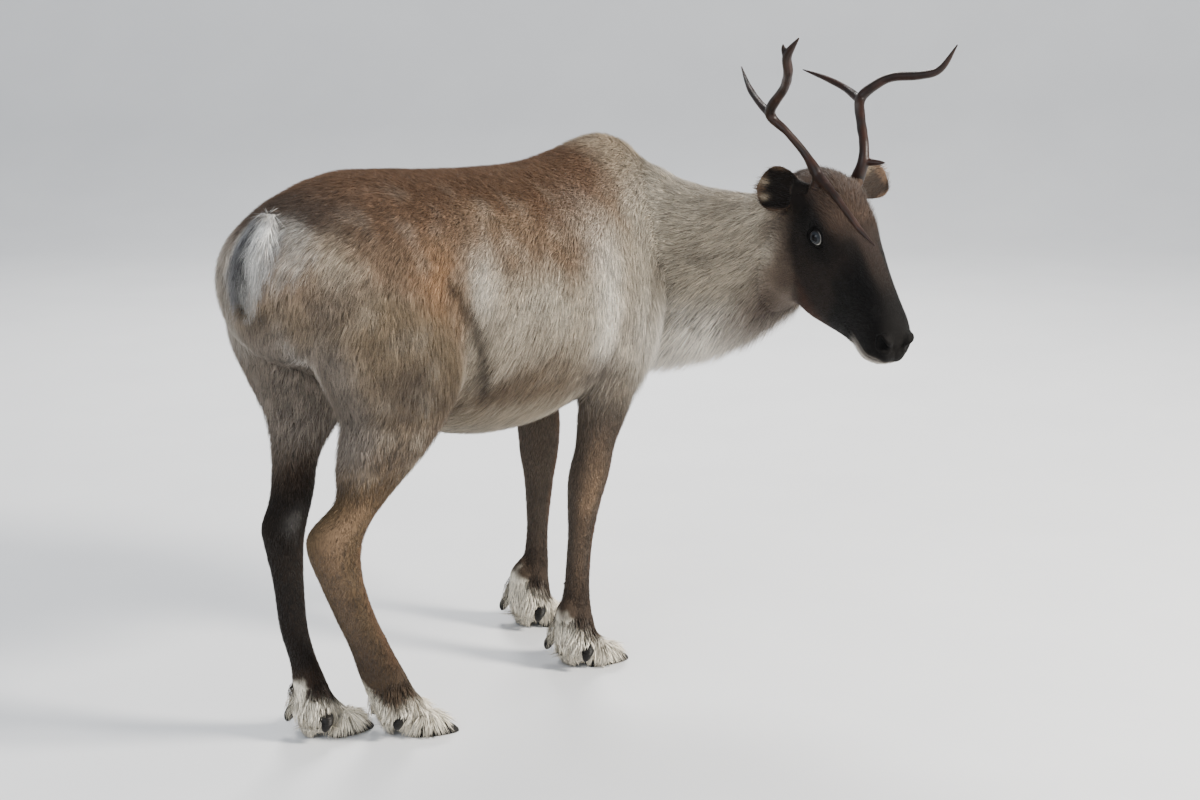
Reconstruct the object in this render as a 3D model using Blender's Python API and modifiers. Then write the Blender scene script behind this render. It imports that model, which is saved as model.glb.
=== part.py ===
"""A reindeer cow at life size, standing with its head turned back to its right.

Metres, +Z up. The body faces +X and its left side is +Y. The hooves stand on Z = 0.
The flesh is drawn as lofts through hand-set sections, fused by a voxel remesh, smoothed,
thinned to a faceted surface, and then parted by boxes that leave a thin gap.
"""

import math

import bmesh
import bpy
import numpy as np
from mathutils import Matrix, Vector
from mathutils.bvhtree import BVHTree

# Gap kept between touching nodes.
GAP = 0.0003

# Torso sections along X: x, top z, bottom z, half width, z of the widest level, upper and lower roundness.
TORSO = [
    (-0.588, 0.875, 0.800, 0.030, 0.840, 2.0, 2.0),
    (-0.572, 0.908, 0.730, 0.078, 0.830, 1.9, 2.0),
    (-0.530, 0.938, 0.690, 0.128, 0.815, 1.8, 2.0),
    (-0.450, 0.968, 0.660, 0.172, 0.800, 1.9, 2.0),
    (-0.350, 0.990, 0.610, 0.194, 0.785, 2.0, 2.0),
    (-0.250, 0.985, 0.550, 0.200, 0.760, 2.1, 2.0),
    (-0.120, 0.972, 0.492, 0.204, 0.725, 2.1, 2.1),
    (0.000, 0.964, 0.474, 0.206, 0.700, 2.1, 2.1),
    (0.120, 0.961, 0.482, 0.192, 0.690, 2.0, 2.1),
    (0.220, 0.972, 0.504, 0.175, 0.690, 1.9, 2.1),
    (0.320, 0.995, 0.530, 0.158, 0.700, 1.8, 2.1),
    (0.390, 0.986, 0.545, 0.140, 0.720, 1.9, 2.0),
    (0.440, 0.944, 0.580, 0.115, 0.730, 2.0, 2.0),
    (0.475, 0.870, 0.630, 0.070, 0.740, 2.0, 2.0),
    (0.485, 0.820, 0.680, 0.030, 0.745, 2.0, 2.0),
]

# Neck sections from the withers to the skull: centre x, y, z, half width, height above and below the centre.
NECK = [
    (0.300, 0.000, 0.770, 0.110, 0.190, 0.180),
    (0.385, -0.020, 0.765, 0.115, 0.185, 0.220),
    (0.440, -0.075, 0.745, 0.110, 0.168, 0.222),
    (0.475, -0.150, 0.735, 0.100, 0.160, 0.202),
    (0.498, -0.230, 0.742, 0.090, 0.149, 0.163),
    (0.520, -0.300, 0.765, 0.092, 0.133, 0.129),
    (0.534, -0.352, 0.800, 0.086, 0.118, 0.108),
    (0.536, -0.392, 0.832, 0.074, 0.098, 0.074),
]

# Level sections of each leg from the hip or shoulder down: centre x, y, z, half length, half width.
LEGS = {}
LEGS["hind_right"] = [
    (-0.370, -0.070, 0.900, 0.090, 0.050),
    (-0.365, -0.092, 0.820, 0.150, 0.090),
    (-0.360, -0.103, 0.730, 0.172, 0.103),
    (-0.350, -0.110, 0.650, 0.150, 0.097),
    (-0.350, -0.112, 0.590, 0.120, 0.084),
    (-0.368, -0.109, 0.545, 0.103, 0.074),
    (-0.396, -0.106, 0.500, 0.082, 0.058),
    (-0.428, -0.105, 0.455, 0.057, 0.037),
    (-0.484, -0.102, 0.413, 0.060, 0.038),
    (-0.493, -0.100, 0.374, 0.052, 0.035),
    (-0.475, -0.096, 0.320, 0.042, 0.032),
    (-0.439, -0.090, 0.250, 0.038, 0.030),
    (-0.398, -0.084, 0.183, 0.038, 0.031),
    (-0.362, -0.080, 0.119, 0.042, 0.036),
    (-0.345, -0.075, 0.090, 0.044, 0.040),
]
LEGS["hind_left"] = [
    (-0.370, 0.070, 0.900, 0.090, 0.050),
    (-0.365, 0.086, 0.820, 0.147, 0.086),
    (-0.360, 0.092, 0.730, 0.163, 0.095),
    (-0.352, 0.090, 0.650, 0.138, 0.088),
    (-0.358, 0.086, 0.600, 0.108, 0.074),
    (-0.372, 0.083, 0.550, 0.080, 0.055),
    (-0.400, 0.079, 0.492, 0.052, 0.037),
    (-0.422, 0.069, 0.430, 0.046, 0.034),
    (-0.445, 0.066, 0.385, 0.049, 0.034),
    (-0.450, 0.062, 0.346, 0.041, 0.030),
    (-0.450, 0.055, 0.287, 0.033, 0.025),
    (-0.451, 0.044, 0.204, 0.030, 0.022),
    (-0.438, 0.035, 0.140, 0.029, 0.022),
    (-0.430, 0.031, 0.095, 0.035, 0.030),
]
LEGS["fore_right"] = [
    (0.285, -0.070, 0.860, 0.070, 0.040),
    (0.285, -0.092, 0.780, 0.108, 0.058),
    (0.280, -0.104, 0.700, 0.124, 0.066),
    (0.262, -0.112, 0.630, 0.110, 0.066),
    (0.245, -0.113, 0.570, 0.086, 0.060),
    (0.238, -0.108, 0.520, 0.068, 0.052),
    (0.233, -0.099, 0.474, 0.056, 0.045),
    (0.219, -0.093, 0.418, 0.045, 0.036),
    (0.204, -0.090, 0.366, 0.045, 0.038),
    (0.190, -0.090, 0.316, 0.038, 0.032),
    (0.180, -0.090, 0.259, 0.030, 0.025),
    (0.171, -0.090, 0.198, 0.028, 0.023),
    (0.165, -0.090, 0.136, 0.029, 0.026),
    (0.158, -0.091, 0.095, 0.038, 0.036),
]
LEGS["fore_left"] = [
    (0.290, 0.070, 0.860, 0.070, 0.040),
    (0.290, 0.092, 0.780, 0.108, 0.058),
    (0.290, 0.104, 0.700, 0.124, 0.066),
    (0.287, 0.112, 0.630, 0.110, 0.066),
    (0.293, 0.116, 0.570, 0.086, 0.060),
    (0.300, 0.120, 0.520, 0.066, 0.052),
    (0.304, 0.120, 0.460, 0.052, 0.043),
    (0.311, 0.120, 0.409, 0.050, 0.040),
    (0.312, 0.120, 0.350, 0.044, 0.036),
    (0.311, 0.120, 0.300, 0.034, 0.029),
    (0.309, 0.121, 0.240, 0.028, 0.024),
    (0.307, 0.122, 0.191, 0.026, 0.021),
    (0.304, 0.124, 0.136, 0.029, 0.025),
    (0.296, 0.128, 0.095, 0.037, 0.034),
]

# Each foot: its middle on the floor, and its heading in degrees from +X, left positive.
FEET = {
    "hind_right": (-0.297, -0.081, -22.0),
    "hind_left": (-0.395, 0.030, 0.0),
    "fore_right": (0.182, -0.094, -7.0),
    "fore_left": (0.314, 0.129, -8.0),
}

# Between these heights a leg turns from the heading of its foot to that of the body.
TURN_HEIGHTS = (0.20, 0.55)
# A hind foot is narrower than a forefoot.
FOOT_WIDTH = {"hind_right": 0.88, "hind_left": 0.86, "fore_right": 1.0, "fore_left": 1.0}
# Level sections of a foot in its own frame: forward shift, z, half length, half width.
FOOT = [
    (-0.038, 0.120, 0.026, 0.024),
    (-0.033, 0.100, 0.035, 0.033),
    (-0.024, 0.075, 0.049, 0.046),
    (-0.009, 0.050, 0.064, 0.055),
    (0.000, 0.028, 0.073, 0.057),
    (0.002, 0.008, 0.070, 0.054),
]
# How far the solid core of a foot lies inside its outline at the same levels, and its underside's height.
FOOT_INSET = [0.000, 0.004, 0.011, 0.014, 0.016, 0.016]
FOOT_UNDERSIDE = 0.020

# Claw: length, half width, height at the coronet, sideways place and splay of each of the two in degrees.
CLAW_LENGTH = 0.088
CLAW_HALF_WIDTH = 0.019
CLAW_HEIGHT = 0.034
CLAW_SIDE = 0.024
CLAW_SPLAY = 14.0
CLAW_BACK = -0.012
CLAW_SIDES = 6
# Claw sections from heel to tip: share of the length, of the half width and of the height.
CLAW_SECTIONS = [
    (0.00, 0.55, 0.60), (0.12, 0.90, 0.88), (0.40, 1.00, 1.00),
    (0.70, 0.88, 0.72), (0.90, 0.58, 0.38), (1.00, 0.22, 0.14),
]
CLAW_ROUNDNESS = 0.8
# Dewclaw: its bend as forward and side shift and height, its root and tip away from the bend, and its radius
# as shares at root, bend and tip.
DEWCLAW_RADIUS = 0.0130
DEWCLAW_SIDE = 0.050
DEWCLAW_BACK = -0.040
DEWCLAW_Z = 0.040
DEWCLAW_ROOT = (0.012, -0.014, 0.012)
DEWCLAW_TIP = (-0.008, 0.003, -0.013)
DEWCLAW_SHARES = (0.95, 1.00, 0.55)
DEWCLAW_FLATNESS = 0.75

# Head frame: its origin between the antlers, its heading, nose-down pitch and roll in degrees, and its size.
HEAD_AT = (0.525, -0.397, 0.948)
HEAD_HEADING = -112.5
HEAD_PITCH = 38.8
HEAD_ROLL = -2.8
HEAD_SIZE = 1.077

# Head sections: distance towards the nose, top, bottom, half width, widest level, upper and lower roundness.
SKULL = [
    (-0.045, -0.066, -0.150, 0.042, -0.095, 2.0, 2.0),
    (-0.015, -0.018, -0.172, 0.060, -0.070, 2.1, 2.2),
    (0.020, 0.006, -0.188, 0.065, -0.055, 2.2, 2.4),
    (0.060, 0.014, -0.204, 0.065, -0.050, 2.3, 2.6),
    (0.100, 0.012, -0.214, 0.062, -0.050, 2.4, 2.8),
    (0.134, 0.004, -0.217, 0.058, -0.052, 2.4, 2.9),
    (0.170, -0.005, -0.209, 0.052, -0.058, 2.3, 2.9),
    (0.210, -0.013, -0.191, 0.046, -0.068, 2.2, 2.7),
    (0.250, -0.021, -0.171, 0.041, -0.078, 2.2, 2.5),
    (0.290, -0.031, -0.153, 0.041, -0.086, 2.2, 2.4),
    (0.320, -0.042, -0.145, 0.043, -0.090, 2.3, 2.3),
    (0.340, -0.055, -0.140, 0.041, -0.096, 2.3, 2.3),
    (0.354, -0.070, -0.130, 0.031, -0.100, 2.2, 2.2),
    (0.360, -0.086, -0.117, 0.014, -0.102, 2.0, 2.0),
]

# Rounded swellings of the head: forward, side, up, and their three half sizes. Side ones are on both sides.
HEAD_SWELLINGS = [
    (0.078, 0.000, -0.004, 0.066, 0.046, 0.024),
    (0.120, 0.054, -0.044, 0.034, 0.014, 0.024),
    (0.110, 0.036, -0.115, 0.066, 0.026, 0.058),
    (0.050, 0.060, -0.044, 0.026, 0.016, 0.024),
    (0.050, 0.043, 0.002, 0.017, 0.014, 0.015),
    (0.344, 0.022, -0.074, 0.016, 0.014, 0.015),
    (0.318, 0.016, -0.126, 0.028, 0.020, 0.018),
    (0.346, 0.010, -0.101, 0.021, 0.024, 0.023),
]

# Eye: its middle, its radius, the way it looks out and the way its opening slants, all in the head frame.
EYE = (0.126, 0.0545, -0.052)
EYE_RADIUS = 0.0168
EYE_OUT = (0.40, 0.85, 0.28)
EYE_SLANT = (0.93, 0.00, -0.36)
# Lids: half length and half height of the ring, how far it stands out, how far its ends curve back, and its
# thickness.
LID_LENGTH = 0.0192
LID_HEIGHT = 0.0158
LID_RISE = 0.0085
LID_CURVE = 0.0035
LID_THICKNESS = 0.0042
LID_POINTS = 18

# Line of the mouth from its corner to the front, as forward and up.
MOUTH = [(0.262, -0.124), (0.290, -0.121), (0.318, -0.119), (0.342, -0.118), (0.357, -0.113)]
MOUTH_RADIUS = 0.0040
MOUTH_CORNER = 0.45
# Nostril: its middle, its half sizes, and the way its length and its width run, all in the head frame.
NOSTRIL = (0.352, 0.027, -0.078)
NOSTRIL_SIZES = (0.006, 0.0055, 0.0085)
NOSTRIL_LONG = (0.75, 0.60, -0.10)
NOSTRIL_WIDE = (0.60, -0.75, -0.20)

# Ears in the head frame: root, direction each points, direction its cup opens, length and half width.
EARS = {
    "left": ((0.040, 0.060, -0.028), (-0.42, 0.91, 0.04), (0.35, 0.17, 0.92), 0.106, 0.042),
    "right": ((0.038, -0.058, -0.031), (-0.72, -0.38, -0.58), (0.14, -0.90, 0.42), 0.099, 0.044),
}
EAR_BEND = 0.020
EAR_BEND_START = 0.4
# Ear sections from root to tip: share of the length, share of the half width, thickness by width.
EAR_SECTIONS = [
    (-0.20, 0.42, 0.90), (0.05, 0.55, 0.85), (0.25, 0.85, 0.62), (0.50, 1.00, 0.50),
    (0.75, 0.85, 0.42), (0.92, 0.50, 0.42), (1.00, 0.18, 0.50),
]
# The cup of an ear: from and to where along it, then its width, depth and floor as shares of the ear's own,
# and how far it is lifted out of the ear.
CUP_RUN = (0.12, 0.95)
CUP_WIDTH = 0.80
CUP_MOUTH = 1.40
CUP_FLOOR = 0.45
CUP_LIFT = 0.35

# Antler routes in the head frame, each point with its radius. Side is left positive.
ANTLERS = {
    "antler_left_beam": [
        (0.046, 0.046, 0.000, 0.0125), (0.034, 0.048, 0.030, 0.0100), (0.006, 0.055, 0.050, 0.0088),
        (-0.043, 0.071, 0.058, 0.0088), (-0.088, 0.092, 0.064, 0.0108),
    ],
    "antler_left_rear_tine": [
        (-0.098, 0.094, 0.061, 0.0082), (-0.133, 0.092, 0.047, 0.0066),
        (-0.176, 0.080, 0.031, 0.0052), (-0.221, 0.064, 0.010, 0.0020),
    ],
    "antler_left_main": [
        (-0.091, 0.099, 0.074, 0.0092), (-0.088, 0.108, 0.097, 0.0086), (-0.077, 0.124, 0.126, 0.0082),
        (-0.045, 0.147, 0.160, 0.0078), (-0.028, 0.164, 0.190, 0.0064), (-0.035, 0.177, 0.241, 0.0020),
    ],
    "antler_left_brow_tine": [
        (0.036, 0.053, 0.036, 0.0070), (0.050, 0.061, 0.046, 0.0052), (0.060, 0.069, 0.055, 0.0020),
    ],
    "antler_right_beam": [
        (0.054, -0.042, -0.002, 0.0125), (0.042, -0.044, 0.012, 0.0102), (-0.002, -0.0535, 0.022, 0.0072),
        (-0.042, -0.0745, 0.033, 0.0068), (-0.078, -0.097, 0.044, 0.0090),
    ],
    "antler_right_rear_tine": [
        (-0.086, -0.098, 0.042, 0.0082), (-0.114, -0.094, 0.032, 0.0066),
        (-0.166, -0.084, 0.020, 0.0052), (-0.227, -0.067, 0.013, 0.0020),
    ],
    "antler_right_main": [
        (-0.080, -0.101, 0.056, 0.0092), (-0.061, -0.113, 0.118, 0.0085),
        (-0.044, -0.140, 0.171, 0.0084), (-0.044, -0.160, 0.208, 0.0080), (-0.028, -0.172, 0.262, 0.0022),
    ],
    "antler_right_top_tine": [
        (-0.047, -0.163, 0.207, 0.0050), (-0.051, -0.168, 0.216, 0.0042), (-0.053, -0.173, 0.226, 0.0018),
    ],
    "antler_right_brow_tine": [
        (0.060, -0.043, 0.012, 0.0080), (0.095, -0.043, 0.020, 0.0070),
        (0.140, -0.036, 0.018, 0.0062), (0.175, -0.027, 0.014, 0.0052), (0.213, -0.016, 0.014, 0.0020),
    ],
}

# Tail from its root down over the rump: z, middle y, half width, thickness out to the tips.
TAIL = [
    (0.938, -0.006, 0.024, 0.014),
    (0.914, -0.014, 0.040, 0.022),
    (0.885, -0.012, 0.052, 0.027),
    (0.852, -0.004, 0.051, 0.027),
    (0.820, 0.001, 0.042, 0.022),
    (0.795, 0.004, 0.028, 0.014),
    (0.774, 0.004, 0.014, 0.008),
]
# Shares of the way down the tail at which its locks are rooted, and how many there are side by side.
TAIL_ROWS = ((0.06, 3), (0.28, 4), (0.50, 5))
TAIL_SPREAD = 0.92
TAIL_FALL = (0.50, 0.58)

# Mane under the neck: depth from the core to the tips, where along the neck that depth starts, is full and
# ends, and the shares of the way along at which rings of locks are rooted.
MANE_DEPTH = 0.024
MANE_SHARES = (0.28, 0.42, 0.82, 1.00)
MANE_RINGS = (0.41, 0.48, 0.56, 0.64, 0.71, 0.78)
MANE_ARC = 136.0
MANE_COUNT = 6
# A mane lock: how far its root is sunk in the core, how far out and back it reaches, how far it drifts aside
# and how far its tip drops.
MANE_SINK = 0.014
MANE_REACH = (1.2, 1.5)
MANE_BACK = (0.052, 0.066)
MANE_DRIFT = 0.010
MANE_DROP = 0.012

# Rings of locks on a foot: height of the roots, length of the fall, and how many.
FOOT_RINGS = ((0.094, 0.052, 6), (0.068, 0.054, 6))
# A foot lock: how far its root is sunk in the core, and the spread of its place, length and twist.
FOOT_SINK = 0.012
FOOT_SPREAD = 0.12
FOOT_DROP = (0.88, 1.08)
FOOT_TWIST = 0.10
# Least height of a lock over the floor.
LOCK_CLEARANCE = 0.006

# A lock: its half widths and half thicknesses from root to tip, as shares of its own.
LOCK_WIDTHS = (0.75, 1.00, 0.72, 0.12)
LOCK_THICKNESSES = (1.00, 1.00, 0.70, 0.25)
MANE_LOCK = (0.0180, 0.0036)
FOOT_LOCK = (0.0165, 0.0036)
TAIL_LOCK = (0.0155, 0.0036)
SEED = 11

# Outlines, along X and up Z, of the two boxes that hold the hind legs and the forelegs.
HIND_BOX = [
    (-0.235, 0.545), (-0.505, 0.630), (-0.720, 0.600), (-0.720, -0.100), (-0.100, -0.100), (-0.100, 0.400),
]
FORE_BOX = [
    (0.150, 0.4715), (0.400, 0.530), (0.500, 0.400), (0.500, -0.100), (-0.050, -0.100), (-0.050, 0.350),
]

# Middle of the slit between the thighs, and how far it reaches along X and up and down.
CROTCH = (-0.370, -0.008, 0.600)
SLIT_REACH = (0.2, 0.07)

# Heights of the cuts across each leg: under the hock or carpus, and above the foot.
JOINT_CUT = {"hind_right": 0.345, "hind_left": 0.335, "fore_right": 0.335, "fore_left": 0.325}
FOOT_CUT = 0.106

# The cut between chest and neck, and the cut behind the skull: a point and the direction into the box.
NECK_CUT = ((0.425, -0.050, 0.770), (0.68, -0.73, 0.0))
SKULL_CUT = ((0.045, 0.000, -0.085), (0.873, 0.000, 0.487))
# Half sizes of the box that a cut takes off, how far the leg boxes reach to each side, and how far a level
# box reaches to each side and under the floor.
DEEP_BOX = (0.30, 0.36, 0.34)
LEG_BOX_REACH = 0.4
LEVEL_BOX_REACH = 1.5
LEVEL_BOX_UNDER = 0.2
# The gap grows by this share round a piece that is cut clear of another.
CLEAR_GAP = 1.3

# The side of a tube starts square to this direction. Its last ring is a share of the one before, further on.
TUBE_FACING = (0.3, 0.2, 0.93)
TIP_LENGTH = 0.8
TIP_SHARE = 0.35

# Plain colours by the words in a node's name, as linear values, with roughness.
COLOURS = [
    ("dewclaw", (0.010, 0.009, 0.008), 0.4),
    ("claw", (0.012, 0.010, 0.009), 0.4),
    ("foot", (0.55, 0.50, 0.40), 0.9),
    ("lower_leg", (0.050, 0.032, 0.022), 0.9),
    ("upper_leg", (0.110, 0.080, 0.055), 0.9),
    ("antler", (0.060, 0.022, 0.012), 0.45),
    ("eye", (0.010, 0.006, 0.004), 0.1),
    ("ear", (0.060, 0.042, 0.030), 0.9),
    ("head", (0.030, 0.020, 0.015), 0.9),
    ("tail", (0.500, 0.480, 0.440), 0.9),
    ("neck", (0.360, 0.330, 0.280), 0.9),
    ("torso", (0.200, 0.140, 0.090), 0.9),
]

# An edge that turns more than this many degrees stays sharp.
SHARP_ANGLE = 50.0

# Sides of a ring, rings for each span between two given sections, and remesh and smoothing settings.
RING = 28
STEPS = 6
BODY_VOXEL = 0.010
BODY_SMOOTH = 12
BODY_TRIANGLES = 3700
HEAD_VOXEL = 0.0045
HEAD_SMOOTH = 5
HEAD_TRIANGLES = 2050


def clear_scene():
    """Removes the startup objects and collections."""
    for obj in list(bpy.data.objects):
        bpy.data.objects.remove(obj, do_unlink=True)
    for collection in list(bpy.data.collections):
        bpy.data.collections.remove(collection)


def new_collection(name):
    """A collection linked into the scene."""
    collection = bpy.data.collections.new(name)
    bpy.context.scene.collection.children.link(collection)
    return collection


def material(name, colour, roughness, metallic=0.0):
    """A Principled material from a 0 to 1 colour."""
    made = bpy.data.materials.new(name)
    made.use_nodes = True
    shader = made.node_tree.nodes["Principled BSDF"]
    shader.inputs["Base Color"].default_value = (*colour, 1.0)
    shader.inputs["Roughness"].default_value = roughness
    shader.inputs["Metallic"].default_value = metallic
    made.diffuse_color = (*colour, 1.0)
    return made


def add_object(name, points, faces, collection):
    """An object of triangles, so that a cutter copied from it has the very same surface."""
    mesh = bpy.data.meshes.new(name)
    mesh.from_pydata([tuple(map(float, point)) for point in points], [], faces)
    grid = bmesh.new()
    grid.from_mesh(mesh)
    bmesh.ops.triangulate(grid, faces=grid.faces)
    grid.to_mesh(mesh)
    grid.free()
    obj = bpy.data.objects.new(name, mesh)
    collection.objects.link(obj)
    return obj


def through(rows, steps=STEPS):
    """A smooth Catmull-Rom run through the given rows of numbers, with `steps` rows for each span."""
    rows = np.array(rows, float)
    padded = np.vstack([2 * rows[0] - rows[1], rows, 2 * rows[-1] - rows[-2]])
    run = []
    for index in range(len(rows) - 1):
        before, start, end, after = padded[index:index + 4]
        for t in np.arange(steps) / steps:
            run.append(0.5 * (
                2 * start + (end - before) * t
                + (2 * before - 5 * start + 4 * end - after) * t ** 2
                + (3 * start - before - 3 * end + after) * t ** 3
            ))
    run.append(rows[-1])
    return np.array(run)


def superellipse(count, width, top, bottom, top_power=2.0, bottom_power=2.0):
    """Side and up coordinates of a closed round section with its own height above and below its middle."""
    turn = 2 * math.pi * np.arange(count) / count
    cosine = np.cos(turn)
    sine = np.sin(turn)
    power = 2 / np.where(sine >= 0, top_power, bottom_power)
    side = width * np.sign(cosine) * np.abs(cosine) ** power
    up = np.where(sine >= 0, top, bottom) * np.sign(sine) * np.abs(sine) ** power
    return np.column_stack([side, up])


def place_ring(centre, side, up, section):
    """A section's side and up coordinates as points round the centre."""
    return np.array(centre) + section[:, :1] * np.array(side) + section[:, 1:] * np.array(up)


def signed_volume(points, faces):
    """Six times the volume that the faces close in, below zero where they face inward."""
    total = 0.0
    for face in faces:
        first = points[face[0]]
        for one, two in zip(face[1:-1], face[2:]):
            total += np.dot(first, np.cross(points[one], points[two]))
    return total


def loft(name, rings, collection):
    """A closed surface through equal rings, with a flat face on each end and its faces outward."""
    count = len(rings[0])
    points = np.vstack(rings)
    faces = []
    for row in range(len(rings) - 1):
        for index in range(count):
            after = (index + 1) % count
            faces.append((
                row * count + index, row * count + after,
                (row + 1) * count + after, (row + 1) * count + index,
            ))
    faces.append(tuple(range(count - 1, -1, -1)))
    faces.append(tuple(range((len(rings) - 1) * count, len(rings) * count)))
    if signed_volume(points, faces) < 0:
        faces = [face[::-1] for face in faces]
    return add_object(name, points, faces, collection)


def directions(path):
    """The direction of a path of points at each of its points, as unit rows."""
    along = np.gradient(path, axis=0)
    return along / np.linalg.norm(along, axis=1, keepdims=True)


def torso_loft(collection):
    """The trunk from the rump to the chest."""
    rings = []
    for x, top, bottom, width, level, top_power, bottom_power in through(TORSO):
        section = superellipse(RING, width, top - level, level - bottom, top_power, bottom_power)
        rings.append(place_ring((x, 0, level), (0, 1, 0), (0, 0, 1), section))
    return loft("torso_form", rings, collection)


def neck_frames():
    """The neck's sections from the chest on: row, share of the way, direction along, side and up."""
    rows = through(NECK)
    frames = []
    for index, (row, along) in enumerate(zip(rows, directions(rows[:, :3]))):
        side = np.array([-along[1], along[0], 0.0])
        side /= np.linalg.norm(side)
        frames.append((row, index / (len(rows) - 1), along, side, np.cross(along, side)))
    return frames


def neck_loft(collection):
    """The core of the neck: its underside lies inside the tips of the mane."""
    rings = []
    for row, share, _, side, up in neck_frames():
        below = row[5] - MANE_DEPTH * float(np.interp(share, MANE_SHARES, (0.0, 1.0, 1.0, 0.0)))
        rings.append(place_ring(row[:3], side, up, superellipse(RING, row[3], row[4], below, 2.1, 2.0)))
    return loft("neck_form", rings, collection)


def heading_frame(degrees):
    """Forward and left vectors on the floor for a heading."""
    angle = math.radians(degrees)
    forward = np.array([math.cos(angle), math.sin(angle), 0.0])
    return forward, np.array([-forward[1], forward[0], 0.0])


def leg_loft(name, sections, collection):
    """Level sections that turn from the body's heading at the top to the foot's heading at the ankle."""
    rings = []
    for x, y, z, length, width in through(sections):
        turned = np.interp(z, TURN_HEIGHTS, (FEET[name][2], 0.0))
        forward, left = heading_frame(turned)
        rings.append(place_ring((x, y, z), forward, left, superellipse(RING, length, width, width)))
    return loft(name + "_form", rings, collection)


def foot_point(name, forward_shift, side_shift, z):
    """A point given in the foot's own frame, moved to its place on the floor."""
    x, y, heading = FEET[name]
    forward, left = heading_frame(heading)
    return np.array([x, y, 0.0]) + forward_shift * forward + side_shift * left + np.array([0, 0, z])


def foot_loft(name, collection):
    """The core of a foot, which its locks grow out of."""
    forward, left = heading_frame(FEET[name][2])
    rings = []
    rows = np.column_stack([FOOT, FOOT_INSET])
    for shift, z, length, width, inset in through(rows, 3):
        width = width * FOOT_WIDTH[name] - inset
        section = superellipse(RING, length - inset, width, width, 2.2, 2.2)
        middle = foot_point(name, shift, 0, max(z, FOOT_UNDERSIDE + 0.2 * z))
        rings.append(place_ring(middle, forward, left, section))
    return loft(name + "_foot_form", rings, collection)


def head_axes():
    """Unit vectors towards the nose, towards the left and out of the forehead."""
    heading, _ = heading_frame(HEAD_HEADING)
    pitch = math.radians(HEAD_PITCH)
    roll = math.radians(HEAD_ROLL)
    upright = np.array([0.0, 0.0, 1.0])
    nose = math.cos(pitch) * heading - math.sin(pitch) * upright
    out = math.sin(pitch) * heading + math.cos(pitch) * upright
    left = np.cross(out, nose)
    return nose, math.cos(roll) * left + math.sin(roll) * out, -math.sin(roll) * left + math.cos(roll) * out


NOSE, LEFT, OUT = head_axes()


def in_head(forward, side, out):
    """A point given in the head's frame, as world coordinates."""
    return np.array(HEAD_AT) + HEAD_SIZE * (forward * NOSE + side * LEFT + out * OUT)


def head_vector(forward, side, out):
    vector = forward * NOSE + side * LEFT + out * OUT
    return vector / np.linalg.norm(vector)


def skull_loft(collection):
    """The skull and muzzle as one loft towards the nose."""
    rings = []
    for forward, top, bottom, width, level, top_power, bottom_power in through(SKULL):
        section = HEAD_SIZE * superellipse(RING, width, top - level, level - bottom, top_power, bottom_power)
        rings.append(place_ring(in_head(forward, 0, level), LEFT, OUT, section))
    return loft("skull_form", rings, collection)


def ball(name, centre, axes, sizes, collection, rings=12, segments=18):
    """An ellipsoid with its own three unit axes and half sizes."""
    frame = Matrix([[*(sizes[0] * axes[0])], [*(sizes[1] * axes[1])], [*(sizes[2] * axes[2])]]).transposed()
    grid = bmesh.new()
    bmesh.ops.create_uvsphere(grid, u_segments=segments, v_segments=rings, radius=1.0)
    bmesh.ops.transform(grid, matrix=Matrix.Translation(Vector(centre)) @ frame.to_4x4(), verts=grid.verts)
    if grid.calc_volume(signed=True) < 0:
        bmesh.ops.reverse_faces(grid, faces=grid.faces)
    bmesh.ops.triangulate(grid, faces=grid.faces)
    mesh = bpy.data.meshes.new(name)
    grid.to_mesh(mesh)
    grid.free()
    obj = bpy.data.objects.new(name, mesh)
    collection.objects.link(obj)
    return obj


def head_swellings(collection):
    """The brow, cheeks, antler bases, nostril wings and chin, as ellipsoids on the skull."""
    made = []
    for forward, side, out, long, wide, high in HEAD_SWELLINGS:
        for sign in ((1, -1) if side else (1,)):
            sizes = [HEAD_SIZE * size for size in (long, wide, high)]
            centre = in_head(forward, sign * side, out)
            made.append(ball("swelling", centre, (NOSE, LEFT, OUT), sizes, collection))
    return made


def tube(name, route, radii, collection, sides=8, flat=1.0):
    """A tapered round or flattened tube along a smooth route, closed at both ends."""
    path = np.array(route, float)
    along = directions(path)
    side = np.cross(along[0], TUBE_FACING)
    rings = []
    for point, way, radius in zip(path, along, radii):
        side = side - way * np.dot(side, way)
        side /= np.linalg.norm(side)
        other = np.cross(way, side)
        section = superellipse(sides, radius, radius * flat, radius * flat)
        rings.append(place_ring(point, side, other, section))
    tip = path[-1] + along[-1] * radii[-1] * TIP_LENGTH
    rings.append(tip + (rings[-1] - path[-1]) * TIP_SHARE)
    return loft(name, rings, collection)


def apply_modifiers(obj):
    """Replaces the object's mesh with the mesh its modifiers give."""
    bpy.context.view_layer.update()
    graph = bpy.context.evaluated_depsgraph_get()
    mesh = bpy.data.meshes.new_from_object(obj.evaluated_get(graph))
    obj.modifiers.clear()
    obj.data = mesh


def join(name, pieces, collection):
    """One object with all the pieces' faces, the pieces removed."""
    grid = bmesh.new()
    for piece in pieces:
        grid.from_mesh(piece.data)
    mesh = bpy.data.meshes.new(name)
    grid.to_mesh(mesh)
    grid.free()
    for piece in pieces:
        bpy.data.objects.remove(piece, do_unlink=True)
    obj = bpy.data.objects.new(name, mesh)
    collection.objects.link(obj)
    return obj


def copy_of(obj, name, collection):
    """A new object with its own copy of the mesh."""
    copied = bpy.data.objects.new(name, obj.data.copy())
    collection.objects.link(copied)
    return copied


def triangle_count(obj):
    """How many triangles the object's faces make."""
    return sum(len(face.vertices) - 2 for face in obj.data.polygons)


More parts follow.
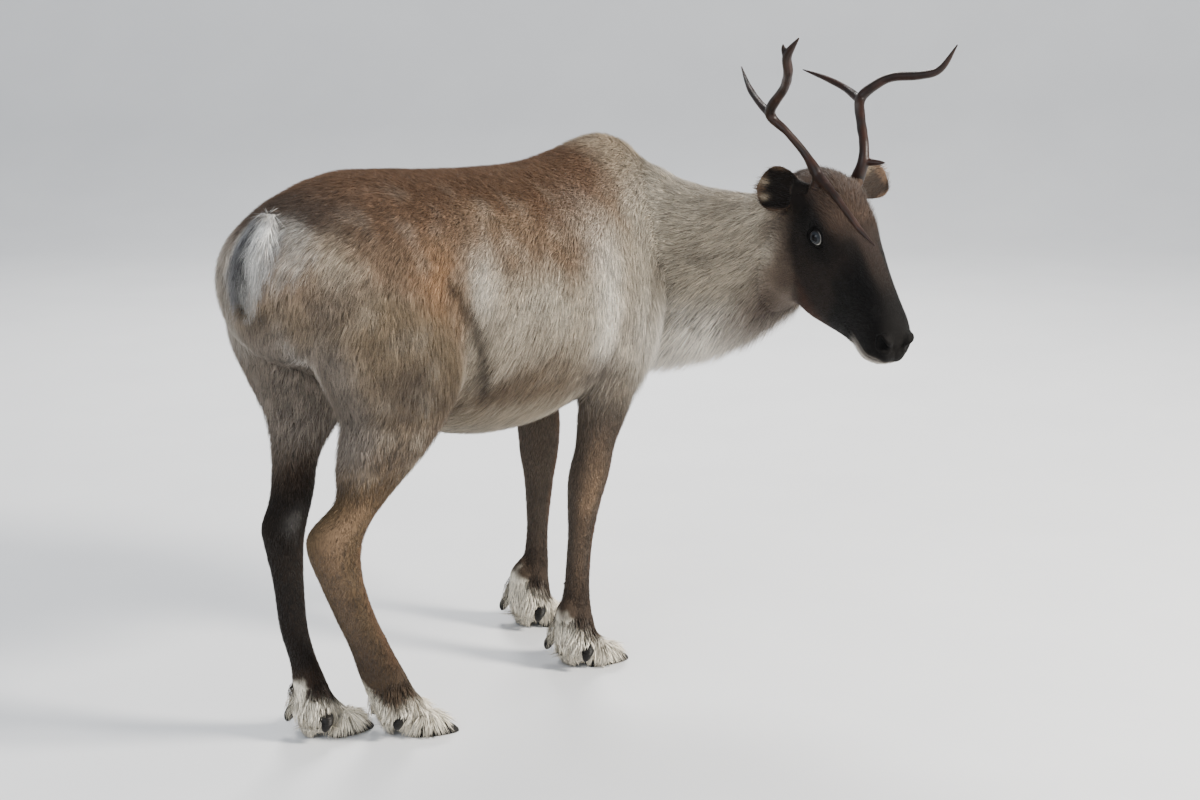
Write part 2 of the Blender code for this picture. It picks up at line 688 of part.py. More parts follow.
def fuse(obj, voxel, smoothing, triangles):
    """Remeshes overlapping forms into one skin, smooths it and thins it to about the given triangles."""
    remesh = obj.modifiers.new("Fuse", "REMESH")
    remesh.mode = "VOXEL"
    remesh.voxel_size = voxel
    apply_modifiers(obj)
    smooth = obj.modifiers.new("Smooth", "SMOOTH")
    smooth.factor = 0.5
    smooth.iterations = smoothing
    apply_modifiers(obj)
    thin = obj.modifiers.new("Thin", "DECIMATE")
    thin.ratio = min(1.0, triangles / triangle_count(obj))
    thin.use_collapse_triangulate = True
    apply_modifiers(obj)
    keep_largest(obj)


def shells_of(grid):
    """The closed surfaces of a mesh of triangles as lists of faces, the one of the largest volume first."""
    left = set(grid.faces)
    shells = []
    while left:
        shell = [left.pop()]
        for face in shell:
            for edge in face.edges:
                for other in edge.link_faces:
                    if other in left:
                        left.remove(other)
                        shell.append(other)
        volume = sum(face.verts[0].co.dot(face.verts[1].co.cross(face.verts[2].co)) for face in shell)
        shells.append((abs(volume), shell))
    return [shell for _, shell in sorted(shells, key=lambda item: -item[0])]


def keep_largest(obj, pick=lambda shells: shells[0]):
    """Keeps one closed surface of the object, the largest unless `pick` takes another, and no scrap."""
    grid = bmesh.new()
    grid.from_mesh(obj.data)
    bmesh.ops.triangulate(grid, faces=grid.faces)
    kept = set(pick(shells_of(grid)))
    bmesh.ops.delete(grid, geom=[face for face in grid.faces if face not in kept], context="FACES")
    loose = [vertex for vertex in grid.verts if not vertex.link_faces]
    bmesh.ops.delete(grid, geom=loose, context="VERTS")
    grid.to_mesh(obj.data)
    grid.free()


def boolean(obj, other, operation):
    """Applies an exact Boolean with an object or a whole collection."""
    modifier = obj.modifiers.new(operation.title(), "BOOLEAN")
    modifier.operation = operation
    modifier.solver = "EXACT"
    if isinstance(other, bpy.types.Collection):
        modifier.operand_type = "COLLECTION"
        modifier.collection = other
    else:
        modifier.object = other
    apply_modifiers(obj)


def grown(obj, amount, collection):
    """A copy of the object with its surface moved out by the amount, as a cutter that leaves a gap."""
    copied = copy_of(obj, obj.name + "_grown", collection)
    grid = bmesh.new()
    grid.from_mesh(copied.data)
    grid.normal_update()
    for vertex, normal in [(vertex, vertex.normal.copy()) for vertex in grid.verts]:
        vertex.co += normal * amount
    grid.to_mesh(copied.data)
    grid.free()
    return copied


def cut_clear(obj, pieces, collection):
    """Cuts each piece, grown by the gap, out of the object."""
    for piece in pieces:
        cutter = grown(piece, GAP * CLEAR_GAP, collection)
        boolean(obj, cutter, "DIFFERENCE")
        bpy.data.objects.remove(cutter, do_unlink=True)
    keep_largest(obj)


def cell(name, centre, axes, sizes, collection, grow=0.0):
    """A box with its own axes and half sizes, as a cutter."""
    grid = bmesh.new()
    bmesh.ops.create_cube(grid, size=2.0)
    rows = [tuple((size + grow) * np.array(axis)) for axis, size in zip(axes, sizes)]
    frame = Matrix(rows).transposed().to_4x4()
    bmesh.ops.transform(grid, matrix=Matrix.Translation(Vector(centre)) @ frame, verts=grid.verts)
    if grid.calc_volume(signed=True) < 0:
        bmesh.ops.reverse_faces(grid, faces=grid.faces)
    mesh = bpy.data.meshes.new(name)
    grid.to_mesh(mesh)
    grid.free()
    obj = bpy.data.objects.new(name, mesh)
    collection.objects.link(obj)
    return obj


def unit(*vector):
    """The vector scaled to length one."""
    vector = np.array(vector, float)
    return vector / np.linalg.norm(vector)


def prism(name, outline, low, high, collection, grow=0.0):
    """A box with a convex outline in X and Z, from Y low to Y high, its outline moved out by `grow`."""
    outline = np.array(outline, float)
    after = np.roll(outline, -1, axis=0) - outline
    after /= np.linalg.norm(after, axis=1, keepdims=True)
    turn = np.cross(np.roll(after, 1, axis=0), after).mean()
    outward = np.column_stack([after[:, 1], -after[:, 0]]) * np.sign(turn)
    before = np.roll(outward, 1, axis=0)
    corner = (outward + before) / (1 + (outward * before).sum(axis=1, keepdims=True))
    moved = outline + grow * corner
    rings = [np.column_stack([moved[:, 0], np.full(len(moved), y), moved[:, 1]]) for y in (low, high)]
    return loft(name, rings, collection)


def leg_box(outline, collection, grow):
    """The box that holds a pair of legs."""
    return prism("leg_box", outline, -LEG_BOX_REACH, LEG_BOX_REACH, collection, grow)


def deep_box(name, point, into, collection, grow=0.0):
    """A large box whose near face passes through the point, facing away from the given direction."""
    down = unit(*into)
    side = unit(*np.cross(down, (0.05, 0.04, 1.0)))
    other = np.cross(down, side)
    deep, wide, high = DEEP_BOX
    centre = np.array(point) + down * (deep - grow)
    return cell(name, centre, (down, side, other), (deep, wide, high), collection)


def split_at(obj, make_box, inner_name, collection):
    """Takes the part of the object inside the box off as a new object, and leaves the gap between them."""
    inner = copy_of(obj, inner_name, collection)
    box = make_box(0.0)
    boolean(inner, box, "INTERSECT")
    bpy.data.objects.remove(box, do_unlink=True)
    box = make_box(GAP)
    boolean(obj, box, "DIFFERENCE")
    bpy.data.objects.remove(box, do_unlink=True)
    return inner


def take_sides(obj, right_name, left_name, collection):
    """Splits an object that holds a right and a left leg into one object for each."""
    def middle(shell):
        return sum(face.calc_center_median().y for face in shell) / len(shell)

    made = {}
    for name, side in ((right_name, min), (left_name, max)):
        made[name] = copy_of(obj, name, collection)
        keep_largest(made[name], lambda shells, nearest=side: nearest(shells[:2], key=middle))
    bpy.data.objects.remove(obj, do_unlink=True)
    return made


def level_box(name, height, collection, grow=0.0):
    """A wide box that reaches from the given height to under the floor."""
    middle = (height + grow - LEVEL_BOX_UNDER) / 2
    sizes = (LEVEL_BOX_REACH, LEVEL_BOX_REACH, middle + LEVEL_BOX_UNDER)
    return cell(name, (0, 0, middle), np.eye(3), sizes, collection)


def lock(route, size, facing, collection):
    """A flat tapered lock along a bent route of four points, its wide face towards `facing`."""
    half_width, half_thickness = size
    path = np.array(route)
    rings = []
    for point, way, wide, thick in zip(path, directions(path), LOCK_WIDTHS, LOCK_THICKNESSES):
        across = unit(*np.cross(way, facing))
        flat = np.cross(across, way)
        turn = np.array([[1.0, 0.0], [0.0, 1.0], [-1.0, 0.0], [0.0, -1.0]])
        section = turn * (half_width * wide, half_thickness * thick)
        rings.append(place_ring(point, across, flat, section))
    return loft("lock", rings, collection)


def surface_of(obj):
    """The object's surface, for casting rays at."""
    grid = bmesh.new()
    grid.from_mesh(obj.data)
    surface = BVHTree.FromBMesh(grid)
    grid.free()
    return surface


def weave(obj, make_locks):
    """Joins locks to the object in one Boolean, and keeps the one closed surface."""
    locks = new_collection("locks")
    locks.hide_render = True
    make_locks(locks)
    boolean(obj, locks, "UNION")
    for piece in list(locks.objects):
        bpy.data.objects.remove(piece, do_unlink=True)
    bpy.data.collections.remove(locks)
    keep_largest(obj)


def mane_locks(collection):
    """Rings of overlapping locks under the neck, lying back towards the chest and hanging to the outline."""
    random = np.random.default_rng(SEED)
    frames = neck_frames()
    for ring, share in enumerate(MANE_RINGS):
        row, _, along, side, up = frames[round(share * (len(frames) - 1))]
        core = row[5] - MANE_DEPTH
        for index in range(MANE_COUNT):
            step = (index + 0.25 + 0.5 * (ring % 2)) / MANE_COUNT
            angle = math.radians(-90 + MANE_ARC * (step - 0.5) + random.uniform(-4, 4))
            out = unit(*(math.cos(angle) * side / row[3] + math.sin(angle) * up / core))
            root = row[:3] + math.cos(angle) * row[3] * side + math.sin(angle) * core * up
            low = 0.45 + 0.55 * max(0.0, -math.sin(angle))
            reach = MANE_DEPTH * low * random.uniform(*MANE_REACH)
            back = random.uniform(*MANE_BACK)
            drift = side * random.uniform(-MANE_DRIFT, MANE_DRIFT)
            fall = np.array([0.0, 0.0, -MANE_DROP])
            route = [
                root - MANE_SINK * out + 0.4 * MANE_SINK * along,
                root + 0.30 * reach * out - 0.30 * back * along,
                root + 0.78 * reach * out - 0.70 * back * along + 0.5 * drift,
                root + reach * out - back * along + drift + fall,
            ]
            lock(route, MANE_LOCK, out, collection)


def foot_locks(name, collection):
    """Locks round the foot, rooted in its core and hanging down over the claws."""
    random = np.random.default_rng(SEED + list(FEET).index(name))
    forward, left = heading_frame(FEET[name][2])
    rows = through(np.column_stack([FOOT, FOOT_INSET]), 6)[::-1]

    def at(angle, z, depth):
        """A point on the foot's outline at a height, moved in by a share of the depth to its core."""
        shift, length, width, inset = (np.interp(z, rows[:, 1], rows[:, column]) for column in (0, 2, 3, 4))
        width *= FOOT_WIDTH[name]
        x = math.cos(angle) * (length - inset * depth)
        y = math.sin(angle) * (width - inset * depth)
        return foot_point(name, shift + x, y, z)

    for ring, (top, fall, count) in enumerate(FOOT_RINGS):
        for index in range(count):
            place = index + 0.5 * (ring % 2) + random.uniform(-FOOT_SPREAD, FOOT_SPREAD)
            angle = 2 * math.pi * place / count
            drop = fall * random.uniform(*FOOT_DROP)
            twist = random.uniform(-FOOT_TWIST, FOOT_TWIST)
            out = unit(*(math.cos(angle) * forward + math.sin(angle) * left))
            route = [
                at(angle, top + FOOT_SINK / 3, 1.0) - FOOT_SINK * out,
                at(angle + 0.2 * twist, top - 0.25 * drop, 0.65),
                at(angle + 0.6 * twist, top - 0.65 * drop, 0.15),
                at(angle + twist, max(LOCK_CLEARANCE, top - drop), 0.05),
            ]
            lock(route, FOOT_LOCK, out, collection)


def tail_point(torso, share, across, rise):
    """A point over the rump, by shares of the way down the tail, of the way across and of its thickness."""
    rows = through(TAIL, 6)
    spot = share * (len(rows) - 1)
    z, middle, width, thickness = (np.interp(spot, np.arange(len(rows)), column) for column in rows.T)
    z -= max(0.0, share - 1.0) * (TAIL[0][0] - TAIL[-1][0])
    hit, normal, _, _ = torso.ray_cast(Vector((-2.0, middle + across * width, z)), Vector((1.0, 0.0, 0.0)))
    edge = math.sqrt(max(0.0, 1 - min(1.0, abs(across)) ** 2))
    return np.array(hit) + np.array(normal) * rise * thickness * (0.35 + 0.65 * edge)


def tail_loft(torso, parts):
    """The core of the tail, half way out to the tips of its locks, its inner side sunk in the rump."""
    rings = []
    for share in np.linspace(0.0, 0.94, 8):
        over = [tail_point(torso, share, across, 0.5) for across in np.linspace(-0.85, 0.85, 6)]
        under = [tail_point(torso, share, across, -0.4) for across in np.linspace(0.75, -0.75, 4)]
        rings.append(np.array(over + under))
    return loft("tail", rings, parts)


def tail_locks(torso, collection):
    """Locks that lie over one another down the tail and hang past its end."""
    random = np.random.default_rng(SEED + 7)
    for start, count in TAIL_ROWS:
        for index in range(count):
            across = TAIL_SPREAD * ((index + 0.5) / count * 2 - 1) + random.uniform(-0.06, 0.06)
            length = random.uniform(*TAIL_FALL)
            route = [
                tail_point(torso, start + step * length, across * (1 + 0.12 * step), rise)
                for step, rise in ((-0.06, 0.05), (0.28, 0.72), (0.66, 0.95), (1.0, 0.88))
            ]
            lock(route, TAIL_LOCK, (-1.0, 0.0, 0.3), collection)


def claw(name, foot, sign, parts):
    """One of the two main claws: a half-round wedge with a flat sole on the floor."""
    forward, left = heading_frame(FEET[foot][2] + sign * CLAW_SPLAY)
    start = foot_point(foot, CLAW_BACK, sign * CLAW_SIDE, 0)
    rings = []
    for share, width, height in through(CLAW_SECTIONS, 1):
        turn = math.pi * np.arange(CLAW_SIDES) / (CLAW_SIDES - 1)
        across = CLAW_HALF_WIDTH * width * np.cos(turn)
        up = CLAW_HEIGHT * height * np.sin(turn) ** CLAW_ROUNDNESS
        section = np.column_stack([across, up])
        rings.append(place_ring(start + forward * share * CLAW_LENGTH, left, (0, 0, 1), section))
    return loft(name, rings, parts)


def dewclaw(name, foot, sign, parts):
    """A short pointed claw behind the ankle, pointing down and out."""
    bend = np.array([DEWCLAW_BACK, DEWCLAW_SIDE * FOOT_WIDTH[foot], DEWCLAW_Z])
    route = []
    for shift in (DEWCLAW_ROOT, (0.0, 0.0, 0.0), DEWCLAW_TIP):
        forward_shift, side_shift, z = bend + shift
        route.append(foot_point(foot, forward_shift, sign * side_shift, z))
    radii = DEWCLAW_RADIUS * np.array(DEWCLAW_SHARES)
    return tube(name, route, radii, parts, 5, DEWCLAW_FLATNESS)


def antler(name, route, parts):
    """One beam or tine, as a tapered tube along its route."""
    rows = through(route, 2)
    return tube(name, [in_head(*row[:3]) for row in rows], HEAD_SIZE * rows[:, 3], parts, 6)


def ear(name, place, parts, helpers):
    """A leaf-shaped ear with its cup cut out of the side that it opens to."""
    start, way, facing, length, half_width = EARS[place]
    root = in_head(*start)
    axis = head_vector(*way)
    opens = head_vector(*facing)
    opens = unit(*(opens - axis * np.dot(opens, axis)))
    across = np.cross(axis, opens)
    outer = []
    inner = []
    for share, width, thick in EAR_SECTIONS:
        bend = EAR_BEND * (share - EAR_BEND_START) ** 2
        centre = root + axis * share * length - opens * bend
        half = width * half_width
        outer.append(place_ring(centre, across, opens, superellipse(10, half, half * thick, half * thick)))
        if CUP_RUN[0] <= share <= CUP_RUN[1]:
            section = superellipse(10, half * CUP_WIDTH, half * CUP_MOUTH, half * thick * CUP_FLOOR)
            inner.append(place_ring(centre + opens * half * thick * CUP_LIFT, across, opens, section))
    made = loft(name, outer, parts)
    cup = loft(name + "_cup", inner, helpers)
    boolean(made, cup, "DIFFERENCE")
    bpy.data.objects.remove(cup, do_unlink=True)
    keep_largest(made)
    return made


def skull_side(forward, out):
    """How far to the side the skull's surface is, by the place along it and the height in the head frame."""
    rows = through(SKULL)
    row = rows[np.argmin(np.abs(rows[:, 0] - forward))]
    _, top, bottom, width, level, top_power, bottom_power = row
    reach, power = (top - level, top_power) if out > level else (level - bottom, bottom_power)
    share = min(1.0, abs(out - level) / reach)
    return width * (1 - share ** power) ** (1 / power)


def face_cutters(collection):
    """The groove of the mouth, from one corner round the front to the other, and the two nostrils."""
    half = []
    for forward, out in through(MOUTH, 3):
        half.append((forward, skull_side(forward, out), out))
    route = [(forward, -side, out) for forward, side, out in half] + half[::-1][1:]
    swell = np.sin(math.pi * np.linspace(0, 1, len(route)))
    radii = MOUTH_RADIUS * (MOUTH_CORNER + (1 - MOUTH_CORNER) * swell)
    made = [tube("mouth", [in_head(*point) for point in route], radii, collection, 6)]
    for sign in (1, -1):
        forward, side, out = NOSTRIL
        axes = [head_vector(way[0], sign * way[1], way[2]) for way in (NOSTRIL_LONG, NOSTRIL_WIDE)] + [OUT]
        centre = in_head(forward, sign * side, out)
        made.append(ball("nostril", centre, axes, NOSTRIL_SIZES, collection, 6, 10))
    return made


def lids(collection):
    """A raised oval ring round each eye, as part of the head."""
    made = []
    for sign in (1, -1):
        centre = in_head(EYE[0], sign * (EYE[1] + LID_RISE), EYE[2])
        out = head_vector(EYE_OUT[0], sign * EYE_OUT[1], EYE_OUT[2])
        slant = head_vector(*EYE_SLANT)
        along = unit(*(slant - out * np.dot(slant, out)))
        across = np.cross(out, along)
        path = []
        for angle in 2 * math.pi * np.arange(LID_POINTS) / LID_POINTS:
            wide = LID_LENGTH * math.cos(angle)
            high = LID_HEIGHT * math.sin(angle)
            back = LID_CURVE * math.cos(angle) ** 2
            path.append(centre + HEAD_SIZE * (wide * along + high * across - back * out))
        section = superellipse(8, LID_THICKNESS, LID_THICKNESS, LID_THICKNESS)
        grid = []
        for index, point in enumerate(path):
            way = unit(*(path[(index + 1) % LID_POINTS] - path[index - 1]))
            side = unit(*(point - centre - way * np.dot(point - centre, way)))
            grid.append(place_ring(point, side, np.cross(way, side), section))
        made.append(ring_loft("lid", grid, collection))
    return made


def ring_loft(name, rings, collection):
    """A closed surface through equal rings that run round into the first one again."""
    count = len(rings[0])
    points = np.vstack(rings)
    faces = []
    for row in range(len(rings)):
        following = (row + 1) % len(rings)
        for index in range(count):
            after = (index + 1) % count
            faces.append((
                row * count + index, row * count + after,
                following * count + after, following * count + index,
            ))
    if signed_volume(points, faces) < 0:
        faces = [face[::-1] for face in faces]
    return add_object(name, points, faces, collection)


def cut_off(obj, box, operation):
    """Applies a Boolean with a box, and removes the box."""
    boolean(obj, box, operation)
    bpy.data.objects.remove(box, do_unlink=True)


def make_head(skull, neck, parts, helpers):
    """The head, fused with the neck's form and cut off behind the skull, with its mouth and nostrils."""
    head = join("head", [copy_of(form, "form", helpers) for form in skull + [neck]], parts)
    fuse(head, HEAD_VOXEL, HEAD_SMOOTH, HEAD_TRIANGLES)
    cut_off(head, skull_box(helpers), "INTERSECT")
    for cutter in face_cutters(helpers):
        cut_off(head, cutter, "DIFFERENCE")
    keep_largest(head)
    return head


def skull_box(collection, grow=0.0):
    """The box that takes the head off behind the skull."""
    return deep_box("skull_box", in_head(*SKULL_CUT[0]), head_vector(*SKULL_CUT[1]), collection, grow)


def make_neck(torso, parts, helpers):
    """Takes the neck off the fused body, and grows its mane between the two cuts."""
    neck = split_at(torso, lambda grow: deep_box("neck_box", *NECK_CUT, helpers, grow), "neck", parts)
    keep_largest(neck)
    weave(neck, mane_locks)
    cut_off(neck, skull_box(helpers, GAP * 1.4), "DIFFERENCE")
    cut_off(neck, deep_box("neck_box", *NECK_CUT, helpers, -GAP * 0.4), "INTERSECT")
    keep_largest(neck)
    return neck


def make_legs(torso, parts, helpers):
    """Takes each pair of legs off the torso, parts it into two, and makes the nodes of each leg."""
    for outline, side in ((HIND_BOX, "hind"), (FORE_BOX, "fore")):
        pair = split_at(torso, lambda grow, shape=outline: leg_box(shape, helpers, grow), "pair", parts)
        if side == "hind":
            slit = cell("slit", CROTCH, np.eye(3), (SLIT_REACH[0], GAP / 2, SLIT_REACH[1]), helpers)
            cut_off(pair, slit, "DIFFERENCE")
        right, left = side + "_right", side + "_left"
        pieces = take_sides(pair, right + "_upper_leg", left + "_upper_leg", parts)
        for leg in (right, left):
            make_leg(leg, pieces[leg + "_upper_leg"], parts, helpers)
    keep_largest(torso)


def make_leg(leg, upper, parts, helpers):
    """Parts a leg into upper leg, lower leg and foot, and gives the foot its locks and claws."""
    lower = split_at(
        upper, lambda grow: level_box("cut", JOINT_CUT[leg], helpers, grow), leg + "_lower_leg", parts,
    )
    foot = split_at(lower, lambda grow: level_box("cut", FOOT_CUT, helpers, grow), leg + "_foot", parts)
    for piece in (upper, lower, foot):
        keep_largest(piece)
    weave(foot, lambda locks: foot_locks(leg, locks))
    claws = []
    for sign, place in ((1, "left"), (-1, "right")):
        claws.append(claw(leg + "_claw_" + place, leg, sign, parts))
        claws.append(dewclaw(leg + "_dewclaw_" + place, leg, sign, parts))
    cut_clear(foot, claws, helpers)


def make_eyes_and_ears(head, neck, parts, helpers):
    """The eyes, seated in the head, and the ears, clear of the head and the neck."""
    for sign, place in ((1, "left"), (-1, "right")):
        centre = in_head(EYE[0], sign * EYE[1], EYE[2])
        eye = ball("eye_" + place, centre, (NOSE, LEFT, OUT), [HEAD_SIZE * EYE_RADIUS] * 3, parts, 8, 14)
        cut_clear(head, [eye], helpers)
        pinna = ear("ear_" + place, place, parts, helpers)
        cut_clear(pinna, [head, neck], helpers)


def make_antlers(head, parts, helpers):
    """The beams and tines, each clear of the one it grows from."""
    grown_from = {name: antler(name, route, parts) for name, route in ANTLERS.items()}
    for place in ("left", "right"):
        start = "antler_" + place + "_"
        beam = grown_from[start + "beam"]
        rear = grown_from[start + "rear_tine"]
        upper = grown_from[start + "main"]
        brow = grown_from[start + "brow_tine"]
        cut_clear(beam, [head], helpers)
        cut_clear(rear, [beam], helpers)
        cut_clear(upper, [beam, rear], helpers)
        cut_clear(brow, [beam, head], helpers)
    cut_clear(grown_from["antler_right_top_tine"], [grown_from["antler_right_main"]], helpers)


def main():
    """Fuses the forms into one body, parts it into nodes, and adds the pieces that are made on their own."""
    clear_scene()
    parts = new_collection("reindeer")
    helpers = new_collection("cutters")
    helpers.hide_render = True
    skull = [skull_loft(helpers)] + head_swellings(helpers) + lids(helpers)
    neck_form = neck_loft(helpers)
    head = make_head(skull, neck_form, parts, helpers)
    forms = [torso_loft(helpers), neck_form] + skull
    for name, sections in LEGS.items():
        forms.append(leg_loft(name, sections, helpers))
        forms.append(foot_loft(name, helpers))
    torso = join("torso", forms, parts)
    fuse(torso, BODY_VOXEL, BODY_SMOOTH, BODY_TRIANGLES)
    cut_off(torso, skull_box(helpers, GAP), "DIFFERENCE")
    neck = make_neck(torso, parts, helpers)
    make_legs(torso, parts, helpers)
    make_eyes_and_ears(head, neck, parts, helpers)
    make_antlers(head, parts, helpers)
    rump = surface_of(torso)
    tail = tail_loft(rump, parts)
    weave(tail, lambda locks: tail_locks(rump, locks))
    cut_clear(tail, [torso], helpers)
    finish_nodes(parts)
    centre_on_floor(parts)
    for helper in helpers.objects:
        helper.display_type = "WIRE"


def finish_nodes(parts):
    """Gives each node its material by the words in its name, and shades it smooth except at sharp edges."""
    for obj in parts.objects:
        for words, colour, roughness in COLOURS:
            if words in obj.name:
                break
        obj.data.shade_smooth()
        obj.data.set_sharp_from_angle(angle=math.radians(SHARP_ANGLE))
        made = material(obj.name + "_finish", colour, roughness)
        obj.data.materials.clear()
        obj.data.materials.append(made)


def centre_on_floor(parts):
    """Moves the whole animal so that the middle of its plan is over the origin."""
    corners = np.array([
        tuple(vertex.co) for obj in parts.objects for vertex in obj.data.vertices
    ])
    low, high = corners.min(axis=0), corners.max(axis=0)
    shift = Vector((-(low[0] + high[0]) / 2, -(low[1] + high[1]) / 2, -low[2]))
    for obj in parts.objects:
        obj.data.transform(Matrix.Translation(shift))


if __name__ == "__main__":
    main()
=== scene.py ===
import math

import bmesh
import bpy
import numpy as np
from mathutils import Matrix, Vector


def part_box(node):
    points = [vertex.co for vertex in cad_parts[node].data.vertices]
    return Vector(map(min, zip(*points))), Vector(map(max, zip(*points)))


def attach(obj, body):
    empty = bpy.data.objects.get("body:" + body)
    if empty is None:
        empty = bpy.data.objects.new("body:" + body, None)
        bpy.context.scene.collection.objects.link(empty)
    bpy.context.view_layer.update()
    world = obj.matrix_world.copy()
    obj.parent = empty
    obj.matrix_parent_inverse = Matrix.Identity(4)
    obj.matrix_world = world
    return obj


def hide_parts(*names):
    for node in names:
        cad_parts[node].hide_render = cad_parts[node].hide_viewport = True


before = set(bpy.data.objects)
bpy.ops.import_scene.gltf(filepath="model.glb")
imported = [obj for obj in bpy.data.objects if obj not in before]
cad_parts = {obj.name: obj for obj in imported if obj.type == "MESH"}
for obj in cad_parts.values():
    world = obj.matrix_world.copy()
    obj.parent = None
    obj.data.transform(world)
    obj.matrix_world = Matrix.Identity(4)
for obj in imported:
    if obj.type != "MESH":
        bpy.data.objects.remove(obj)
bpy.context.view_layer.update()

# The animal's forms, in metres, in the frame its sizes were set in: body facing +X, its left side +Y. SHIFT moves
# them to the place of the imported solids, which are centred over the origin.

# Torso sections: x, top z, bottom z, half width, z of the widest level, upper and lower roundness.
TORSO = np.array([
    (-0.588, 0.875, 0.800, 0.030, 0.840, 2.0, 2.0), (-0.572, 0.908, 0.730, 0.078, 0.830, 1.9, 2.0),
    (-0.530, 0.938, 0.690, 0.128, 0.815, 1.8, 2.0), (-0.450, 0.968, 0.660, 0.172, 0.800, 1.9, 2.0),
    (-0.350, 0.990, 0.610, 0.194, 0.785, 2.0, 2.0), (-0.250, 0.985, 0.550, 0.200, 0.760, 2.1, 2.0),
    (-0.120, 0.972, 0.492, 0.204, 0.725, 2.1, 2.1), (0.000, 0.964, 0.474, 0.206, 0.700, 2.1, 2.1),
    (0.120, 0.961, 0.482, 0.192, 0.690, 2.0, 2.1), (0.220, 0.972, 0.504, 0.175, 0.690, 1.9, 2.1),
    (0.320, 0.995, 0.530, 0.158, 0.700, 1.8, 2.1), (0.390, 0.986, 0.545, 0.140, 0.720, 1.9, 2.0),
    (0.440, 0.944, 0.580, 0.115, 0.730, 2.0, 2.0), (0.475, 0.870, 0.630, 0.070, 0.740, 2.0, 2.0),
    (0.485, 0.820, 0.680, 0.030, 0.745, 2.0, 2.0),
])
# Neck sections: centre, half width, height above and below the centre.
NECK = np.array([
    (0.300, 0.000, 0.770, 0.110, 0.190, 0.180), (0.385, -0.020, 0.765, 0.115, 0.185, 0.220),
    (0.440, -0.075, 0.745, 0.110, 0.168, 0.222), (0.475, -0.150, 0.735, 0.100, 0.160, 0.202),
    (0.498, -0.230, 0.742, 0.090, 0.149, 0.163), (0.520, -0.300, 0.765, 0.092, 0.133, 0.129),
    (0.534, -0.352, 0.800, 0.086, 0.118, 0.108), (0.536, -0.392, 0.832, 0.074, 0.098, 0.074),
])
# Leg sections from the hip or shoulder down: centre, half length, half width.
LEGS = {
    "hind_right": np.array([
        (-0.370, -0.070, 0.900, 0.090, 0.050), (-0.365, -0.092, 0.820, 0.150, 0.090),
        (-0.360, -0.103, 0.730, 0.172, 0.103), (-0.350, -0.110, 0.650, 0.150, 0.097),
        (-0.350, -0.112, 0.590, 0.120, 0.084), (-0.368, -0.109, 0.545, 0.103, 0.074),
        (-0.396, -0.106, 0.500, 0.082, 0.058), (-0.428, -0.105, 0.455, 0.057, 0.037),
        (-0.484, -0.102, 0.413, 0.060, 0.038), (-0.493, -0.100, 0.374, 0.052, 0.035),
        (-0.475, -0.096, 0.320, 0.042, 0.032), (-0.439, -0.090, 0.250, 0.038, 0.030),
        (-0.398, -0.084, 0.183, 0.038, 0.031), (-0.362, -0.080, 0.119, 0.042, 0.036),
        (-0.348, -0.076, 0.094, 0.041, 0.035), (-0.336, -0.078, 0.062, 0.034, 0.030),
        (-0.328, -0.080, 0.042, 0.022, 0.022),
    ]),
    "hind_left": np.array([
        (-0.370, 0.070, 0.900, 0.090, 0.050), (-0.365, 0.086, 0.820, 0.147, 0.086),
        (-0.360, 0.092, 0.730, 0.163, 0.095), (-0.352, 0.090, 0.650, 0.138, 0.088),
        (-0.358, 0.086, 0.600, 0.108, 0.074), (-0.372, 0.083, 0.550, 0.080, 0.055),
        (-0.400, 0.079, 0.492, 0.052, 0.037), (-0.422, 0.069, 0.430, 0.046, 0.034),
        (-0.445, 0.066, 0.385, 0.049, 0.034), (-0.450, 0.062, 0.346, 0.041, 0.030),
        (-0.450, 0.055, 0.287, 0.033, 0.025), (-0.451, 0.044, 0.204, 0.030, 0.022),
        (-0.438, 0.035, 0.140, 0.029, 0.022), (-0.428, 0.031, 0.095, 0.034, 0.028),
        (-0.420, 0.030, 0.062, 0.031, 0.027),
    ]),
    "fore_right": np.array([
        (0.285, -0.070, 0.860, 0.070, 0.040), (0.285, -0.092, 0.780, 0.108, 0.058),
        (0.280, -0.104, 0.700, 0.124, 0.066), (0.262, -0.112, 0.630, 0.110, 0.066),
        (0.245, -0.113, 0.570, 0.086, 0.060), (0.238, -0.108, 0.520, 0.068, 0.052),
        (0.233, -0.099, 0.474, 0.056, 0.045), (0.219, -0.093, 0.418, 0.045, 0.036),
        (0.204, -0.090, 0.366, 0.045, 0.038), (0.190, -0.090, 0.316, 0.038, 0.032),
        (0.180, -0.090, 0.259, 0.030, 0.025), (0.171, -0.090, 0.198, 0.028, 0.023),
        (0.165, -0.090, 0.136, 0.029, 0.026), (0.160, -0.091, 0.095, 0.036, 0.032),
        (0.170, -0.092, 0.062, 0.033, 0.031),
    ]),
    "fore_left": np.array([
        (0.290, 0.070, 0.860, 0.070, 0.040), (0.290, 0.092, 0.780, 0.108, 0.058),
        (0.290, 0.104, 0.700, 0.124, 0.066), (0.287, 0.112, 0.630, 0.110, 0.066),
        (0.293, 0.116, 0.570, 0.086, 0.060), (0.300, 0.120, 0.520, 0.066, 0.052),
        (0.304, 0.120, 0.460, 0.052, 0.043), (0.311, 0.120, 0.409, 0.050, 0.040),
        (0.312, 0.120, 0.350, 0.044, 0.036), (0.311, 0.120, 0.300, 0.034, 0.029),
        (0.309, 0.121, 0.240, 0.028, 0.024), (0.307, 0.122, 0.191, 0.026, 0.021),
        (0.304, 0.124, 0.136, 0.029, 0.025), (0.297, 0.127, 0.095, 0.035, 0.031),
        (0.305, 0.129, 0.062, 0.033, 0.031),
    ]),
}
